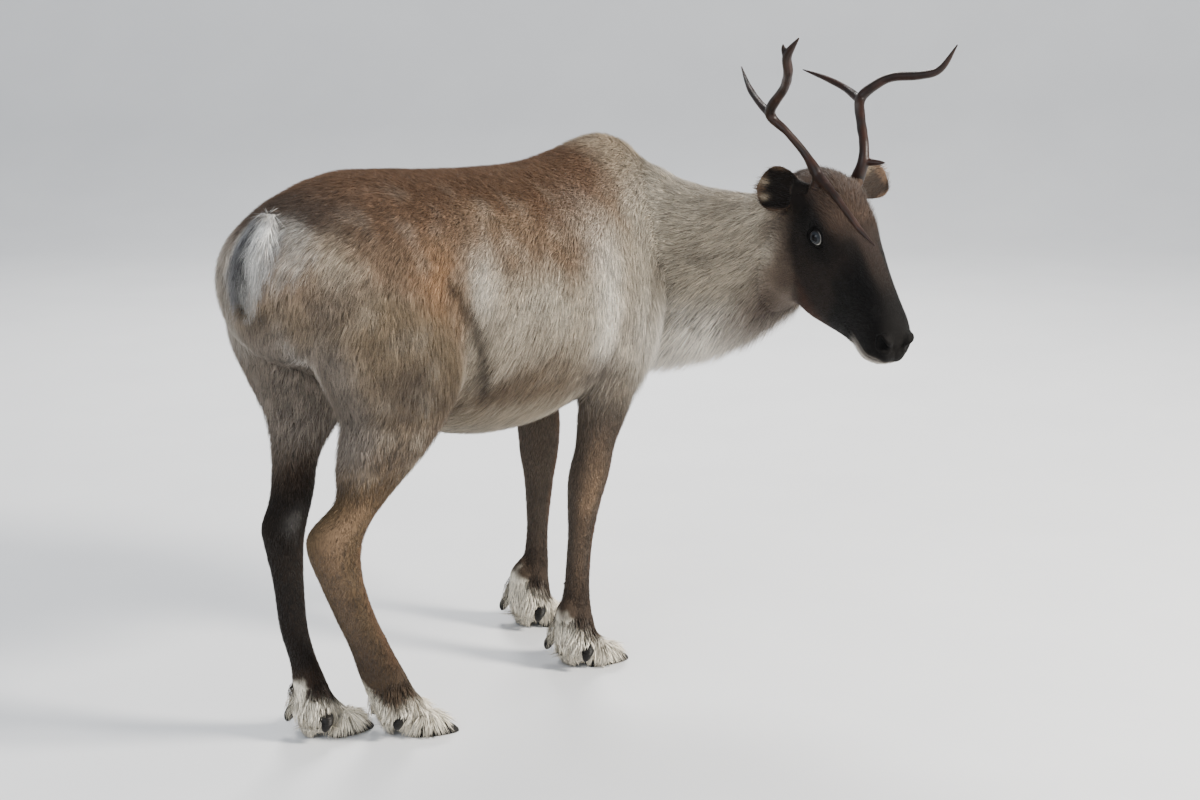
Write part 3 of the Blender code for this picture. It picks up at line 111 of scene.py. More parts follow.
# Each foot: middle on the floor, heading in degrees, share of the full width.
FEET = {
    "hind_right": (-0.297, -0.081, -22.0, 0.88), "hind_left": (-0.395, 0.030, 0.0, 0.86),
    "fore_right": (0.182, -0.094, -7.0, 1.0), "fore_left": (0.314, 0.129, -8.0, 1.0),
}
# Foot sections in the foot's own frame: forward shift, z, half length, half width, depth of the coat.
FOOT = np.array([
    (-0.038, 0.145, 0.006, 0.006, 0.000), (-0.038, 0.120, 0.024, 0.022, 0.000), (-0.034, 0.100, 0.034, 0.032, 0.003),
    (-0.027, 0.075, 0.045, 0.044, 0.010), (-0.017, 0.050, 0.056, 0.053, 0.014),
    (-0.006, 0.028, 0.064, 0.056, 0.016), (-0.002, 0.008, 0.064, 0.053, 0.016),
])
FOOT_UNDERSIDE = 0.020
CLAW_LENGTH = 0.088
CLAW_HALF_WIDTH = 0.019
CLAW_HEIGHT = 0.034
CLAW_SIDE = 0.024
CLAW_SPLAY = 14.0
CLAW_BACK = -0.012
# Claw sections from heel to tip: share of the length, of the half width and of the height.
CLAW_SECTIONS = np.array([
    (0.00, 0.55, 0.60), (0.12, 0.90, 0.88), (0.40, 1.00, 1.00), (0.70, 0.88, 0.72), (0.90, 0.58, 0.38),
    (1.00, 0.22, 0.14),
])
# Haired toe over a claw: how far ahead of the claw's heel it is, its height, and its three half sizes.
TOE_AHEAD = 0.034
TOE_HEIGHT = 0.025
TOE_SIZES = (0.034, 0.0200, 0.021)
# Below this height the hair of the feet hangs free and no longer follows the skin.
HANG_LEVEL = 0.040
DEWCLAW_RADIUS = 0.0130
DEWCLAW_SIDE = 0.050
DEWCLAW_BACK = -0.040
DEWCLAW_Z = 0.040

# Head frame: its origin between the antlers, heading, nose-down pitch and roll in degrees, and size.
HEAD_AT = np.array([0.525, -0.397, 0.948])
HEAD_HEADING = -112.5
HEAD_PITCH = 38.8
HEAD_ROLL = -2.8
HEAD_SIZE = 1.077
# Head sections: distance towards the nose, top, bottom, half width, widest level, upper and lower roundness.
SKULL = np.array([
    (-0.045, -0.066, -0.150, 0.042, -0.095, 2.0, 2.0), (-0.015, -0.018, -0.172, 0.060, -0.070, 2.1, 2.2),
    (0.020, 0.006, -0.188, 0.065, -0.055, 2.2, 2.4), (0.060, 0.014, -0.204, 0.065, -0.050, 2.3, 2.6),
    (0.100, 0.012, -0.214, 0.062, -0.050, 2.4, 2.8), (0.134, 0.004, -0.217, 0.058, -0.052, 2.4, 2.9),
    (0.170, -0.005, -0.209, 0.052, -0.058, 2.3, 2.9), (0.210, -0.013, -0.191, 0.046, -0.068, 2.2, 2.7),
    (0.250, -0.021, -0.171, 0.041, -0.078, 2.2, 2.5), (0.290, -0.031, -0.153, 0.041, -0.086, 2.2, 2.4),
    (0.320, -0.042, -0.145, 0.043, -0.090, 2.3, 2.3), (0.340, -0.055, -0.140, 0.041, -0.096, 2.3, 2.3),
    (0.354, -0.070, -0.130, 0.031, -0.100, 2.2, 2.2), (0.360, -0.086, -0.117, 0.014, -0.102, 2.0, 2.0),
])
# Swellings of the head: forward, side, up, and three half sizes. Side ones are on both sides.
SWELLINGS = np.array([
    (0.078, 0.000, -0.004, 0.066, 0.046, 0.024), (0.120, 0.054, -0.044, 0.034, 0.014, 0.024),
    (0.110, 0.036, -0.115, 0.066, 0.026, 0.058), (0.050, 0.060, -0.044, 0.026, 0.016, 0.024),
    (0.050, 0.043, 0.002, 0.017, 0.014, 0.015), (0.344, 0.022, -0.074, 0.016, 0.014, 0.015),
    (0.318, 0.016, -0.126, 0.028, 0.020, 0.018), (0.346, 0.010, -0.101, 0.021, 0.024, 0.023),
])
EYE = np.array([0.126, 0.0545, -0.052])
EYE_RADIUS = 0.0168 * HEAD_SIZE
EYE_OUT = (0.40, 0.85, 0.28)
EYE_SLANT = (0.93, 0.00, -0.36)
EYE_HALF_LENGTH = 0.0158
EYE_HALF_HEIGHT = 0.0138
# Line of the mouth as forward and up, and the nostril: forward, side, up.
MOUTH = np.array([(0.262, -0.124), (0.290, -0.121), (0.318, -0.119), (0.342, -0.118), (0.357, -0.113)])
NOSTRIL = np.array([0.352, 0.027, -0.078])
# Ears in the head frame: root, direction each points, direction its cup opens, length and half width.
EARS = {
    "left": ((0.040, 0.060, -0.028), (-0.42, 0.91, 0.04), (0.35, 0.17, 0.92), 0.106, 0.042),
    "right": ((0.038, -0.058, -0.031), (-0.72, -0.38, -0.58), (0.14, -0.90, 0.42), 0.099, 0.044),
}
EAR_BEND = 0.020
# Ear sections: share of the length, share of the half width, thickness by width.
EAR_SECTIONS = np.array([
    (-0.20, 0.42, 0.90), (0.05, 0.55, 0.85), (0.25, 0.85, 0.62), (0.50, 1.00, 0.50), (0.75, 0.85, 0.42),
    (0.92, 0.50, 0.42), (1.00, 0.18, 0.50),
])
# Antler routes in the head frame, each point with its radius.
ANTLERS = {
    "left": {
        "beam": [(0.046, 0.046, -0.010, 0.0125), (0.034, 0.048, 0.030, 0.0100), (0.006, 0.055, 0.050, 0.0088),
                 (-0.043, 0.071, 0.058, 0.0088), (-0.088, 0.092, 0.064, 0.0108)],
        "rear_tine": [(-0.084, 0.092, 0.063, 0.0090), (-0.133, 0.092, 0.047, 0.0066),
                      (-0.176, 0.080, 0.031, 0.0052), (-0.221, 0.064, 0.010, 0.0016)],
        "main": [(-0.084, 0.092, 0.062, 0.0094), (-0.088, 0.108, 0.097, 0.0086), (-0.077, 0.124, 0.126, 0.0082),
                 (-0.045, 0.147, 0.160, 0.0078), (-0.028, 0.164, 0.190, 0.0064), (-0.035, 0.177, 0.241, 0.0016)],
        "brow_tine": [(0.030, 0.049, 0.028, 0.0080), (0.050, 0.061, 0.046, 0.0052),
                      (0.060, 0.069, 0.055, 0.0016)],
    },
    "right": {
        "beam": [(0.054, -0.042, -0.010, 0.0125), (0.042, -0.044, 0.012, 0.0102),
                 (-0.002, -0.0535, 0.022, 0.0072), (-0.042, -0.0745, 0.033, 0.0068),
                 (-0.078, -0.097, 0.044, 0.0090)],
        "rear_tine": [(-0.076, -0.096, 0.043, 0.0088), (-0.114, -0.094, 0.032, 0.0066),
                      (-0.166, -0.084, 0.020, 0.0052), (-0.227, -0.067, 0.013, 0.0016)],
        "main": [(-0.076, -0.096, 0.044, 0.0092), (-0.061, -0.113, 0.118, 0.0085),
                 (-0.044, -0.140, 0.171, 0.0084), (-0.044, -0.160, 0.208, 0.0080),
                 (-0.028, -0.172, 0.262, 0.0018)],
        "top_tine": [(-0.045, -0.158, 0.200, 0.0056), (-0.051, -0.168, 0.216, 0.0042),
                     (-0.053, -0.173, 0.226, 0.0014)],
        "brow_tine": [(0.050, -0.043, 0.008, 0.0092), (0.095, -0.043, 0.020, 0.0070),
                      (0.140, -0.036, 0.018, 0.0062), (0.175, -0.027, 0.014, 0.0052),
                      (0.213, -0.016, 0.014, 0.0016)],
    },
}
# Tail from its root down over the rump: z, middle y, half width, thickness.
TAIL = np.array([
    (0.938, -0.006, 0.024, 0.014), (0.914, -0.014, 0.040, 0.022), (0.885, -0.012, 0.052, 0.027),
    (0.852, -0.004, 0.051, 0.027), (0.820, 0.001, 0.042, 0.022), (0.795, 0.004, 0.028, 0.014),
    (0.774, 0.004, 0.014, 0.008),
])
MANE_DEPTH = 0.024

# Camera: place in the same frame, azimuth and elevation of its view in radians, focal length in millimetres.
CAMERA_AT = np.array([-3.2487, -2.8040, 1.5063])
CAMERA_TURN = 0.9094
CAMERA_DIP = 0.2235
CAMERA_LENS = 72.0

SKIN_VOXEL = 0.0026
SKIN_TRIANGLES = 185000
SEED = 5
# No hair reaches lower than this over the floor.
FLOOR_CLEARANCE = 0.0012


def unit(vectors):
    """Vectors scaled to length one."""
    vectors = np.asarray(vectors, float)
    return vectors / np.maximum(np.linalg.norm(vectors, axis=-1, keepdims=True), 1e-12)


def dot(one, two):
    return (one * two).sum(axis=-1)


def step(value, low, high):
    """0 at `low` and 1 at `high`, with a smooth S between."""
    share = np.clip((value - low) / (high - low), 0.0, 1.0)
    return share * share * (3 - 2 * share)


def heading_frame(degrees):
    """Forward and left vectors on the floor for a heading."""
    angle = np.radians(degrees)
    forward = np.stack([np.cos(angle), np.sin(angle), 0 * angle], axis=-1)
    left = np.stack([-np.sin(angle), np.cos(angle), 0 * angle], axis=-1)
    return forward, left


def head_axes():
    """Unit vectors towards the nose, towards the left and out of the forehead."""
    heading, _ = heading_frame(HEAD_HEADING)
    pitch = math.radians(HEAD_PITCH)
    roll = math.radians(HEAD_ROLL)
    upright = np.array([0.0, 0.0, 1.0])
    nose = math.cos(pitch) * heading - math.sin(pitch) * upright
    out = math.sin(pitch) * heading + math.cos(pitch) * upright
    left = np.cross(out, nose)
    return nose, math.cos(roll) * left + math.sin(roll) * out, -math.sin(roll) * left + math.cos(roll) * out


NOSE, LEFT, OUT = head_axes()
HEAD_FRAME = np.array([NOSE, LEFT, OUT])


def in_head(points):
    """Points given in the head's frame, as body coordinates."""
    return HEAD_AT + HEAD_SIZE * np.asarray(points, float) @ HEAD_FRAME


def to_head(points):
    """Body coordinates as forward, side and up in the head's frame."""
    return (points - HEAD_AT) @ HEAD_FRAME.T / HEAD_SIZE


def head_vector(*vector):
    return unit(np.array(vector) @ HEAD_FRAME)


def find_shift():
    """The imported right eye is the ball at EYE: its place there less its place here is the move of the whole animal."""
    low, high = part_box("eye_right")
    return (np.array(low) + np.array(high)) / 2 - in_head(EYE * (1, -1, 1))


SHIFT = find_shift()


def through(rows, steps=8):
    """A Catmull-Rom curve through the rows, with `steps` rows for each span, as one array."""
    rows = np.asarray(rows, float)
    padded = np.vstack([2 * rows[0] - rows[1], rows, 2 * rows[-1] - rows[-2]])
    t = (np.arange(steps) / steps)[None, :, None]
    before, start, end, after = (padded[k:k + len(rows) - 1, None, :] for k in range(4))
    run = 0.5 * (
        2 * start + (end - before) * t + (2 * before - 5 * start + 4 * end - after) * t ** 2
        + (3 * start - before - 3 * end + after) * t ** 3
    )
    return np.vstack([run.reshape(-1, rows.shape[1]), rows[-1:]])


def along(path):
    """The unit direction of a path of points at each of its points."""
    return unit(np.gradient(path, axis=0))


def rings(centre, side, up, width, top, bottom, top_power=2.0, bottom_power=2.0, count=48):
    """Superellipse rings: centre + width·sgn(cos a)|cos a|^(2/p)·side + height·sgn(sin a)|sin a|^(2/p)·up, where the
    height is `top` over the middle and `bottom` under it, and p is the power of that half."""
    turn = 2 * np.pi * np.arange(count) / count
    cosine, sine = np.cos(turn)[None, :], np.sin(turn)[None, :]
    column = [np.reshape(np.broadcast_to(value, len(centre)), (-1, 1)) for value in
              (width, top, bottom, top_power, bottom_power)]
    power = 2 / np.where(sine >= 0, column[3], column[4])
    across = column[0] * np.sign(cosine) * np.abs(cosine) ** power
    over = np.where(sine >= 0, column[1], column[2]) * np.sign(sine) * np.abs(sine) ** power
    side, up = (np.broadcast_to(axis, centre.shape)[:, None, :] for axis in (side, up))
    return centre[:, None, :] + across[..., None] * side + over[..., None] * up


def closed_grid(grid):
    """Points and triangles of a grid of rings whose two ends close on their middles."""
    rows, count = grid.shape[:2]
    points = np.vstack([grid.reshape(-1, 3), grid[0].mean(axis=0), grid[-1].mean(axis=0)])
    first = np.arange(count)
    after = (first + 1) % count
    row = np.arange(rows - 1)[:, None] * count
    a, b = (row + first).ravel(), (row + after).ravel()
    c, d = b + count, a + count
    low = np.column_stack([after, first, np.full(count, rows * count)])
    high = np.column_stack([first, after, np.full(count, 0)]) + (rows - 1) * count
    high[:, 2] = rows * count + 1
    faces = np.vstack([np.column_stack([a, b, c]), np.column_stack([a, c, d]), low, high])
    corner = points[faces]
    if dot(corner[:, 0], np.cross(corner[:, 1], corner[:, 2])).sum() < 0:
        faces = faces[:, ::-1]
    return points, faces


def joined(shapes):
    """Several (points, triangles) as one."""
    start = np.cumsum([0] + [len(points) for points, _ in shapes[:-1]])
    return (np.vstack([points for points, _ in shapes]),
            np.vstack([faces + first for (_, faces), first in zip(shapes, start)]))


def ball(centre, sizes, axes, count=28):
    """An ellipsoid: centre + sum of axis·size·(cos v, sin v·cos u, sin v·sin u)."""
    v = np.linspace(0.02, np.pi - 0.02, count // 2)[:, None]
    u = 2 * np.pi * np.arange(count)[None, :] / count
    shape = np.stack([np.cos(v) + 0 * u, np.sin(v) * np.cos(u), np.sin(v) * np.sin(u)], axis=-1)
    return closed_grid(centre + (shape * sizes) @ np.asarray(axes))


def tube(path, radii, count=16, flat=1.0, facing=(0.3, 0.2, 0.93)):
    """A round section of the given radii carried along a path, its side axis turned as little as it can be."""
    way = along(path)
    side = unit(np.cross(way, facing))
    return closed_grid(rings(path, side, np.cross(way, side), radii, radii * flat, radii * flat, count=count))


def torso_form():
    x, top, bottom, width, level, top_power, bottom_power = through(TORSO).T
    centre = np.column_stack([x, 0 * x, level])
    return closed_grid(rings(centre, (0, 1, 0), (0, 0, 1), width, top - level, level - bottom, top_power,
                             bottom_power))


def neck_frames():
    """The neck's rows with the direction along, the side and the up of each."""
    rows = through(NECK)
    way = along(rows[:, :3])
    side = unit(np.column_stack([-way[:, 1], way[:, 0], 0 * way[:, 0]]))
    return rows, way, side, np.cross(way, side)


def neck_form():
    """The neck's core: its underside lies inside the tips of the mane."""
    rows, _, side, up = neck_frames()
    share = np.linspace(0, 1, len(rows))
    below = rows[:, 5] - MANE_DEPTH * np.interp(share, (0.28, 0.42, 0.82, 1.0), (0, 1, 1, 0))
    return closed_grid(rings(rows[:, :3], side, up, rows[:, 3], rows[:, 4], below, 2.1, 2.0))


def leg_form(name):
    rows = through(LEGS[name])
    turned = FEET[name][2] * np.clip((0.55 - rows[:, 2]) / 0.35, 0, 1)
    forward, left = heading_frame(turned)
    return closed_grid(rings(rows[:, :3], forward, left, rows[:, 3], rows[:, 4], rows[:, 4]))


def foot_place(name, forward_shift, side_shift, z):
    """Points given in a foot's own frame, moved to its place on the floor."""
    x, y, heading, _ = FEET[name]
    forward, left = heading_frame(heading)
    forward_shift, side_shift, z = np.broadcast_arrays(forward_shift, side_shift, z)
    return (np.array([x, y, 0.0]) + forward_shift[..., None] * forward + side_shift[..., None] * left
            + z[..., None] * np.array([0.0, 0.0, 1.0]))


def foot_form(name):
    forward, left = heading_frame(FEET[name][2])
    shift, z, length, width, inset = through(FOOT).T
    width = width * FEET[name][3] - inset
    centre = foot_place(name, shift, 0.0, np.maximum(z, FOOT_UNDERSIDE + 0.2 * z))
    return closed_grid(rings(centre, forward, left, length - inset, width, width, 2.2, 2.2))


def toe_forms(name):
    """A haired toe over each main claw: an ellipsoid that leaves the last third of the claw bare."""
    made = []
    for sign in (1, -1):
        forward, left = heading_frame(FEET[name][2] + sign * CLAW_SPLAY)
        axes = np.array([forward, left, (0.0, 0.0, 1.0)])
        start = foot_place(name, CLAW_BACK, sign * CLAW_SIDE, TOE_HEIGHT)
        made.append(ball(start + TOE_AHEAD * forward, TOE_SIZES, axes))
    return made


def skull_forms():
    forward, top, bottom, width, level, top_power, bottom_power = through(SKULL).T
    centre = in_head(np.column_stack([forward, 0 * forward, level]))
    made = [closed_grid(rings(centre, LEFT, OUT, HEAD_SIZE * width, HEAD_SIZE * (top - level),
                              HEAD_SIZE * (level - bottom), top_power, bottom_power))]
    for row in SWELLINGS:
        for sign in ((1, -1) if row[1] else (1,)):
            made.append(ball(in_head(row[:3] * (1, sign, 1)), HEAD_SIZE * row[3:], HEAD_FRAME))
    return made


def add_mesh(name, points, faces, smooth=True):
    """An object from whole arrays of points and equal faces, moved to the place of the solids."""
    mesh = bpy.data.meshes.new(name)
    faces = np.ascontiguousarray(faces, np.int32)
    mesh.vertices.add(len(points))
    mesh.vertices.foreach_set("co", np.ascontiguousarray(points + SHIFT, np.float32).ravel())
    mesh.loops.add(faces.size)
    mesh.loops.foreach_set("vertex_index", faces.ravel())
    mesh.polygons.add(len(faces))
    mesh.polygons.foreach_set("loop_start", np.arange(0, faces.size, faces.shape[1], dtype=np.int32))
    mesh.update(calc_edges=True)
    mesh.validate()
    mesh.polygons.foreach_set("use_smooth", np.full(len(faces), smooth))
    made = bpy.data.objects.new(name, mesh)
    bpy.context.scene.collection.objects.link(made)
    return made


def apply_modifiers(made):
    """Replaces the object's mesh with the mesh its modifiers give."""
    bpy.context.view_layer.update()
    mesh = bpy.data.meshes.new_from_object(made.evaluated_get(bpy.context.evaluated_depsgraph_get()))
    made.modifiers.clear()
    made.data = mesh


def mesh_arrays(made):
    """Points, in the animal's own frame, triangles and point normals of an object's mesh."""
    mesh = made.data
    mesh.calc_loop_triangles()
    points = np.empty(len(mesh.vertices) * 3, np.float32)
    mesh.vertices.foreach_get("co", points)
    normals = np.empty(len(mesh.vertices) * 3, np.float32)
    mesh.vertices.foreach_get("normal", normals)
    faces = np.empty(len(mesh.loop_triangles) * 3, np.int32)
    mesh.loop_triangles.foreach_get("vertices", faces)
    return points.reshape(-1, 3).astype(float) - SHIFT, faces.reshape(-1, 3), normals.reshape(-1, 3).astype(float)


def waves(points, size, seed, count=20):
    """Smooth noise of about the given wavelength: the scaled mean of plane sine waves with drawn headings."""
    random = np.random.default_rng(seed)
    heading = unit(random.normal(size=(count, 3))) / (size * random.uniform(0.6, 1.7, (count, 1)))
    phase = random.uniform(0, 2 * np.pi, count)
    total = sum(np.sin(points @ (2 * np.pi * way) + start) for way, start in zip(heading, phase))
    return np.clip(total / math.sqrt(count), -1.6, 1.6)


def neck_place(points):
    """Share of the way along the neck and height over its middle line, for any points."""
    rows, _, side, up = neck_frames()
    rows, side, up = rows[::4], side[::4], up[::4]
    away = points[:, None, :] - rows[None, :, :3]
    nearest = (away ** 2).sum(axis=-1).argmin(axis=1)
    away = points - rows[nearest, :3]
    return nearest / (len(rows) - 1), dot(away, side[nearest]), dot(away, up[nearest])


def leg_place(name, points):
    """Distance from a leg's middle line by its own half sizes, 1 on its surface, and the place round it. Round the
    ankle the leg and the foot overlap, and the ends of both together are taken."""
    rows = LEGS[name][::-1]
    z = points[:, 2]
    x, y, length, width = (np.interp(z, rows[:, 2], rows[:, k]) for k in (0, 1, 3, 4))
    foot_x, foot_y, heading, share = FEET[name]
    shift, foot_length, foot_width = (np.interp(z, FOOT[::-1, 1], FOOT[::-1, k]) for k in (0, 2, 3))
    forward, left = heading_frame(heading)
    middle, half = [], []
    for axis, reach, foot_at, foot_reach in ((forward, length, shift, foot_length),
                                             (left, width, 0 * z, foot_width * share)):
        leg_at = (x - foot_x) * axis[0] + (y - foot_y) * axis[1]
        ends = []
        for sign, outer in ((1, np.maximum), (-1, np.minimum)):
            leg_end, foot_end = leg_at + sign * reach, foot_at + sign * foot_reach
            end = leg_end + (outer(leg_end, foot_end) - leg_end) * step(z, 0.140, 0.120)
            ends.append(foot_end + (end - foot_end) * step(z, 0.070, 0.100))
        middle.append((ends[0] + ends[1]) / 2)
        half.append((ends[0] - ends[1]) / 2)
    low = z < 0.145
    x = np.where(low, foot_x + forward[0] * middle[0] + left[0] * middle[1], x)
    y = np.where(low, foot_y + forward[1] * middle[0] + left[1] * middle[1], y)
    length, width = np.where(low, half[0], length), np.where(low, half[1], width)
    turned = heading * np.clip((0.55 - z) / 0.35, 0, 1)
    forward, left = heading_frame(turned)
    away = points - np.column_stack([x, y, z])
    ahead, aside = dot(away, forward) / length, dot(away, left) / width
    return np.hypot(ahead, aside), ahead, aside


def eye_axes(sign):
    """Unit vectors along an eye's opening towards the nose, up across it, and out of the head."""
    out = head_vector(EYE_OUT[0], sign * EYE_OUT[1], EYE_OUT[2])
    slant = head_vector(*EYE_SLANT)
    slit = unit(slant - out * dot(slant, out))
    return np.array([slit, -sign * np.cross(out, slit), out])


def eye_place(points, sign):
    """Points from an eye's middle along its opening, up across it and outward, in metres."""
    return (points - in_head(EYE * (1, sign, 1))) @ eye_axes(sign).T


def nostril_reach(head, sign):
    """Distance from a nostril's middle by its own size: 1 on its rim. It is a comma that trails up and outward."""
    away = head - NOSTRIL * (1, sign, 1)
    along_slit = dot(away, np.array([-0.62, 0.50 * sign, 0.60]))
    round_slit = np.sqrt(np.maximum((away ** 2).sum(axis=1) - along_slit ** 2, 0))
    return np.hypot((along_slit - 0.002) / 0.0135, round_slit / (0.0080 - 0.18 * np.clip(along_slit, 0, 0.02)))


def nostril_depth(head, sign):
    return np.clip(1 - nostril_reach(head, sign) ** 2, 0, 1)


def crown_share(head):
    """1 on the bushy hair of the crown and forehead, between the antlers and the brows, from places in the head."""
    ahead = step(head[:, 0], 0.178, 0.120) * step(head[:, 0], -0.045, -0.015)
    return ahead * step(head[:, 2], -0.052, -0.020) * step(np.abs(head[:, 1]), 0.066, 0.046)


def mouth_distance(head):
    """Distance, in metres, from points in the head's frame to the line of the mouth on either side."""
    line = through(MOUTH, 4)
    away = np.hypot(head[:, None, 0] - line[None, :, 0], head[:, None, 2] - line[None, :, 1])
    return HEAD_SIZE * away.min(axis=1)


def shape_face(points, normals):
    """Moves the skin of the head: the eye sockets in under the lids, the nostrils in, the line of the mouth in with
    the lips standing out beside it, and the hollow in front of each eye."""
    head = to_head(points)
    near = head[:, 0] > -0.02
    for sign in (1, -1):
        place = eye_place(points, sign)
        slit = np.hypot(place[:, 0] / EYE_HALF_LENGTH, place[:, 1] / EYE_HALF_HEIGHT)
        away = np.linalg.norm(place, axis=1)
        open_eye = near & (place[:, 2] > 0.0) & (slit < 2.3)
        wanted = np.where(slit < 1.05, EYE_RADIUS - 0.0035, EYE_RADIUS + 0.0012)
        blend = np.where(open_eye, step(slit, 2.2, 1.25), 0.0)
        scale = (away + (wanted - away) * blend) / np.maximum(away, 1e-6)
        centre = in_head(EYE * (1, sign, 1))
        points = centre + (points - centre) * scale[:, None]
        deep = 0.0125 * nostril_depth(head, sign)
        wing = 0.0028 * np.exp(-((nostril_reach(head, sign) - 1.40) / 0.30) ** 2)
        points = points + normals * (np.where(near, wing - deep, 0.0))[:, None]
        hollow = (head - np.array([0.158, 0.050 * sign, -0.066])) / (0.020, 0.020, 0.008)
        points = points - normals * (0.0030 * np.exp(-(hollow ** 2).sum(axis=1)) * near)[:, None]
    away = mouth_distance(head)
    ahead = step(head[:, 0], 0.252, 0.275)
    groove = 0.0042 * np.exp(-(away / 0.0022) ** 2) - 0.0012 * np.exp(-((away - 0.0062) / 0.0030) ** 2)
    return points - normals * (groove * ahead * near)[:, None]


def coat_depth(points):
    """How far the skin lies under the tips of the coat."""
    head, neck, legs, _ = parts_of(points)
    depth = np.full(len(points), 0.0090)
    depth += (0.0095 - depth) * neck
    for name, share in legs.items():
        leg = 0.0032 + 0.0048 * step(points[:, 2], 0.42, 0.62)
        leg = leg + (0.0018 - leg) * step(points[:, 2], 0.160, 0.100)
        depth += (leg - depth) * share
    place = to_head(points)
    face = 0.0022 + 0.0035 * step(place[:, 0], 0.10, 0.0) + 0.0030 * crown_share(place)
    return depth + (face - depth) * head


def parts_of(points):
    """How much of each point belongs to the head, to the neck, to each leg and to the tail, from 0 to 1."""
    cut = dot(points - in_head((0.045, 0.0, -0.085)), head_vector(0.873, 0.0, 0.487))
    near = np.linalg.norm(points - in_head((0.15, 0.0, -0.10)), axis=1) < 0.31
    head = step(cut, -0.030, 0.018) * near
    chest = dot(points - np.array([0.425, -0.050, 0.770]), unit(np.array([0.68, -0.73, 0.0])))
    neck = step(chest, -0.070, 0.040) * (points[:, 0] > 0.15) * (1 - head)
    legs = {}
    for name in LEGS:
        away, _, _ = leg_place(name, points)
        top = 0.60 if name.startswith("hind") else 0.56
        legs[name] = step(away, 1.75, 1.25) * step(points[:, 2], top + 0.13, top - 0.10) * (1 - head) * (1 - neck)
    z, middle, width, _ = through(TAIL, 4)[::-1].T
    across = (points[:, 1] - np.interp(points[:, 2], z, middle)) / np.interp(points[:, 2], z, width)
    tail = step(np.abs(across), 1.25, 0.75) * (points[:, 0] < -0.50) * step(points[:, 2], 0.790, 0.830)
    tail = tail * step(points[:, 2], 0.955, 0.925)
    return head, neck, legs, tail


def ear_form(name):
    """An ear as a closed grid of rings: the back of each is a half ellipse, and its front is hollowed into the cup."""
    start, way, facing, length, half_width = EARS[name]
    axis = head_vector(*way)
    opens = head_vector(*facing)
    opens = unit(opens - axis * dot(opens, axis))
    across = np.cross(axis, opens)
    share, width, thick = through(EAR_SECTIONS, 6).T
    inset = 0.0022
    centre = in_head(start) + axis * (share * (length - inset))[:, None]
    centre = centre - opens * (EAR_BEND * (share - 0.4) ** 2)[:, None]
    half = np.maximum(width * half_width - inset, 0.002)
    turn = 2 * np.pi * np.arange(40) / 40
    back = np.sin(turn) < 0
    hollow = step(share, 0.02, 0.30) * step(share, 1.02, 0.90)
    front = 0.9 - (0.9 + 0.62) * hollow
    depth = np.where(back[None, :], 1.0, front[:, None]) * (half * thick)[:, None] * np.sin(turn)[None, :]
    rim = (0.30 * half * thick * hollow)[:, None] * np.abs(np.cos(turn))[None, :] ** 3
    side = half[:, None] * np.cos(turn)[None, :]
    grid = centre[:, None, :] + side[..., None] * across + (depth + rim)[..., None] * opens
    return closed_grid(grid)


def ear_place(name, points):
    """Share of an ear's length, share across it, and how far out of its cup, for points near it."""
    start, way, facing, length, half_width = EARS[name]
    axis = head_vector(*way)
    opens = head_vector(*facing)
    opens = unit(opens - axis * dot(opens, axis))
    away = points - in_head(start)
    return dot(away, axis) / length, dot(away, np.cross(axis, opens)) / half_width, dot(away, opens) / half_width


def lid_forms(sign):
    """The upper and lower lid of an eye, each a rounded rim that follows the ball, and a soft fold above the upper.
    The rim's path is centre + R·(x, y, √(1−x²−y²)), with x and y on an almond."""
    centre = in_head(EYE * (1, sign, 1))
    basis = eye_axes(sign)
    turn = np.linspace(0, 2 * np.pi, 49)[:-1]
    made = []
    for grow, above, below, lift in ((1.00, 0.0019, 0.0014, 0.0004), (1.30, 0.0023, 0.0012, 0.0012)):
        x = EYE_HALF_LENGTH * grow * np.cos(turn)
        y = EYE_HALF_HEIGHT * grow * np.sin(turn) * (1 - 0.12 * np.cos(turn))
        reach = EYE_RADIUS + lift
        z = np.sqrt(np.maximum(reach ** 2 - x ** 2 - y ** 2, (0.35 * reach) ** 2))
        path = np.column_stack([x, y, z]) @ basis + centre
        thick = np.where(np.sin(turn) > 0, above, below) * (0.55 + 0.45 * np.abs(np.sin(turn)))
        way = unit(np.roll(path, -1, axis=0) - np.roll(path, 1, axis=0))
        out = unit(path - centre)
        side = np.cross(way, out)
        grid = rings(path, side, out, thick * 1.35, thick, thick, count=12)
        count = grid.shape[1]
        rows = len(grid)
        a = (np.arange(rows)[:, None] * count + np.arange(count)).ravel()
        b = (np.arange(rows)[:, None] * count + (np.arange(count) + 1) % count).ravel()
        c, d = (b + count) % (rows * count), (a + count) % (rows * count)
        points, faces = grid.reshape(-1, 3), np.vstack([np.column_stack([a, b, c]), np.column_stack([a, c, d])])
        corner = points[faces] - centre
        if dot(corner[:, 0], np.cross(corner[:, 1], corner[:, 2])).sum() < 0:
            faces = faces[:, ::-1]
        made.append((points, faces))
    return made


def tail_form(skin_points):
    """The dock of the tail: flat ellipses down the rump, each resting on the skin behind it."""
    z, middle, width, thick = through(TAIL, 4).T
    z, middle, width, thick = z[:-3], middle[:-3], width[:-3] * 0.62, thick[:-3] * 0.42
    level = np.abs(skin_points[:, 2] - z[:, None]) < 0.012
    close = level & (np.abs(skin_points[:, 1] - middle[:, None]) < 0.014)
    back = np.where(close, skin_points[:, 0], 9.0).min(axis=1)
    centre = np.column_stack([back + 0.2 * thick, middle, z])
    return closed_grid(rings(centre, (0, 1, 0), (-1, 0, 0.25), width, thick, thick * 1.4, 2.0, 2.0, 24))


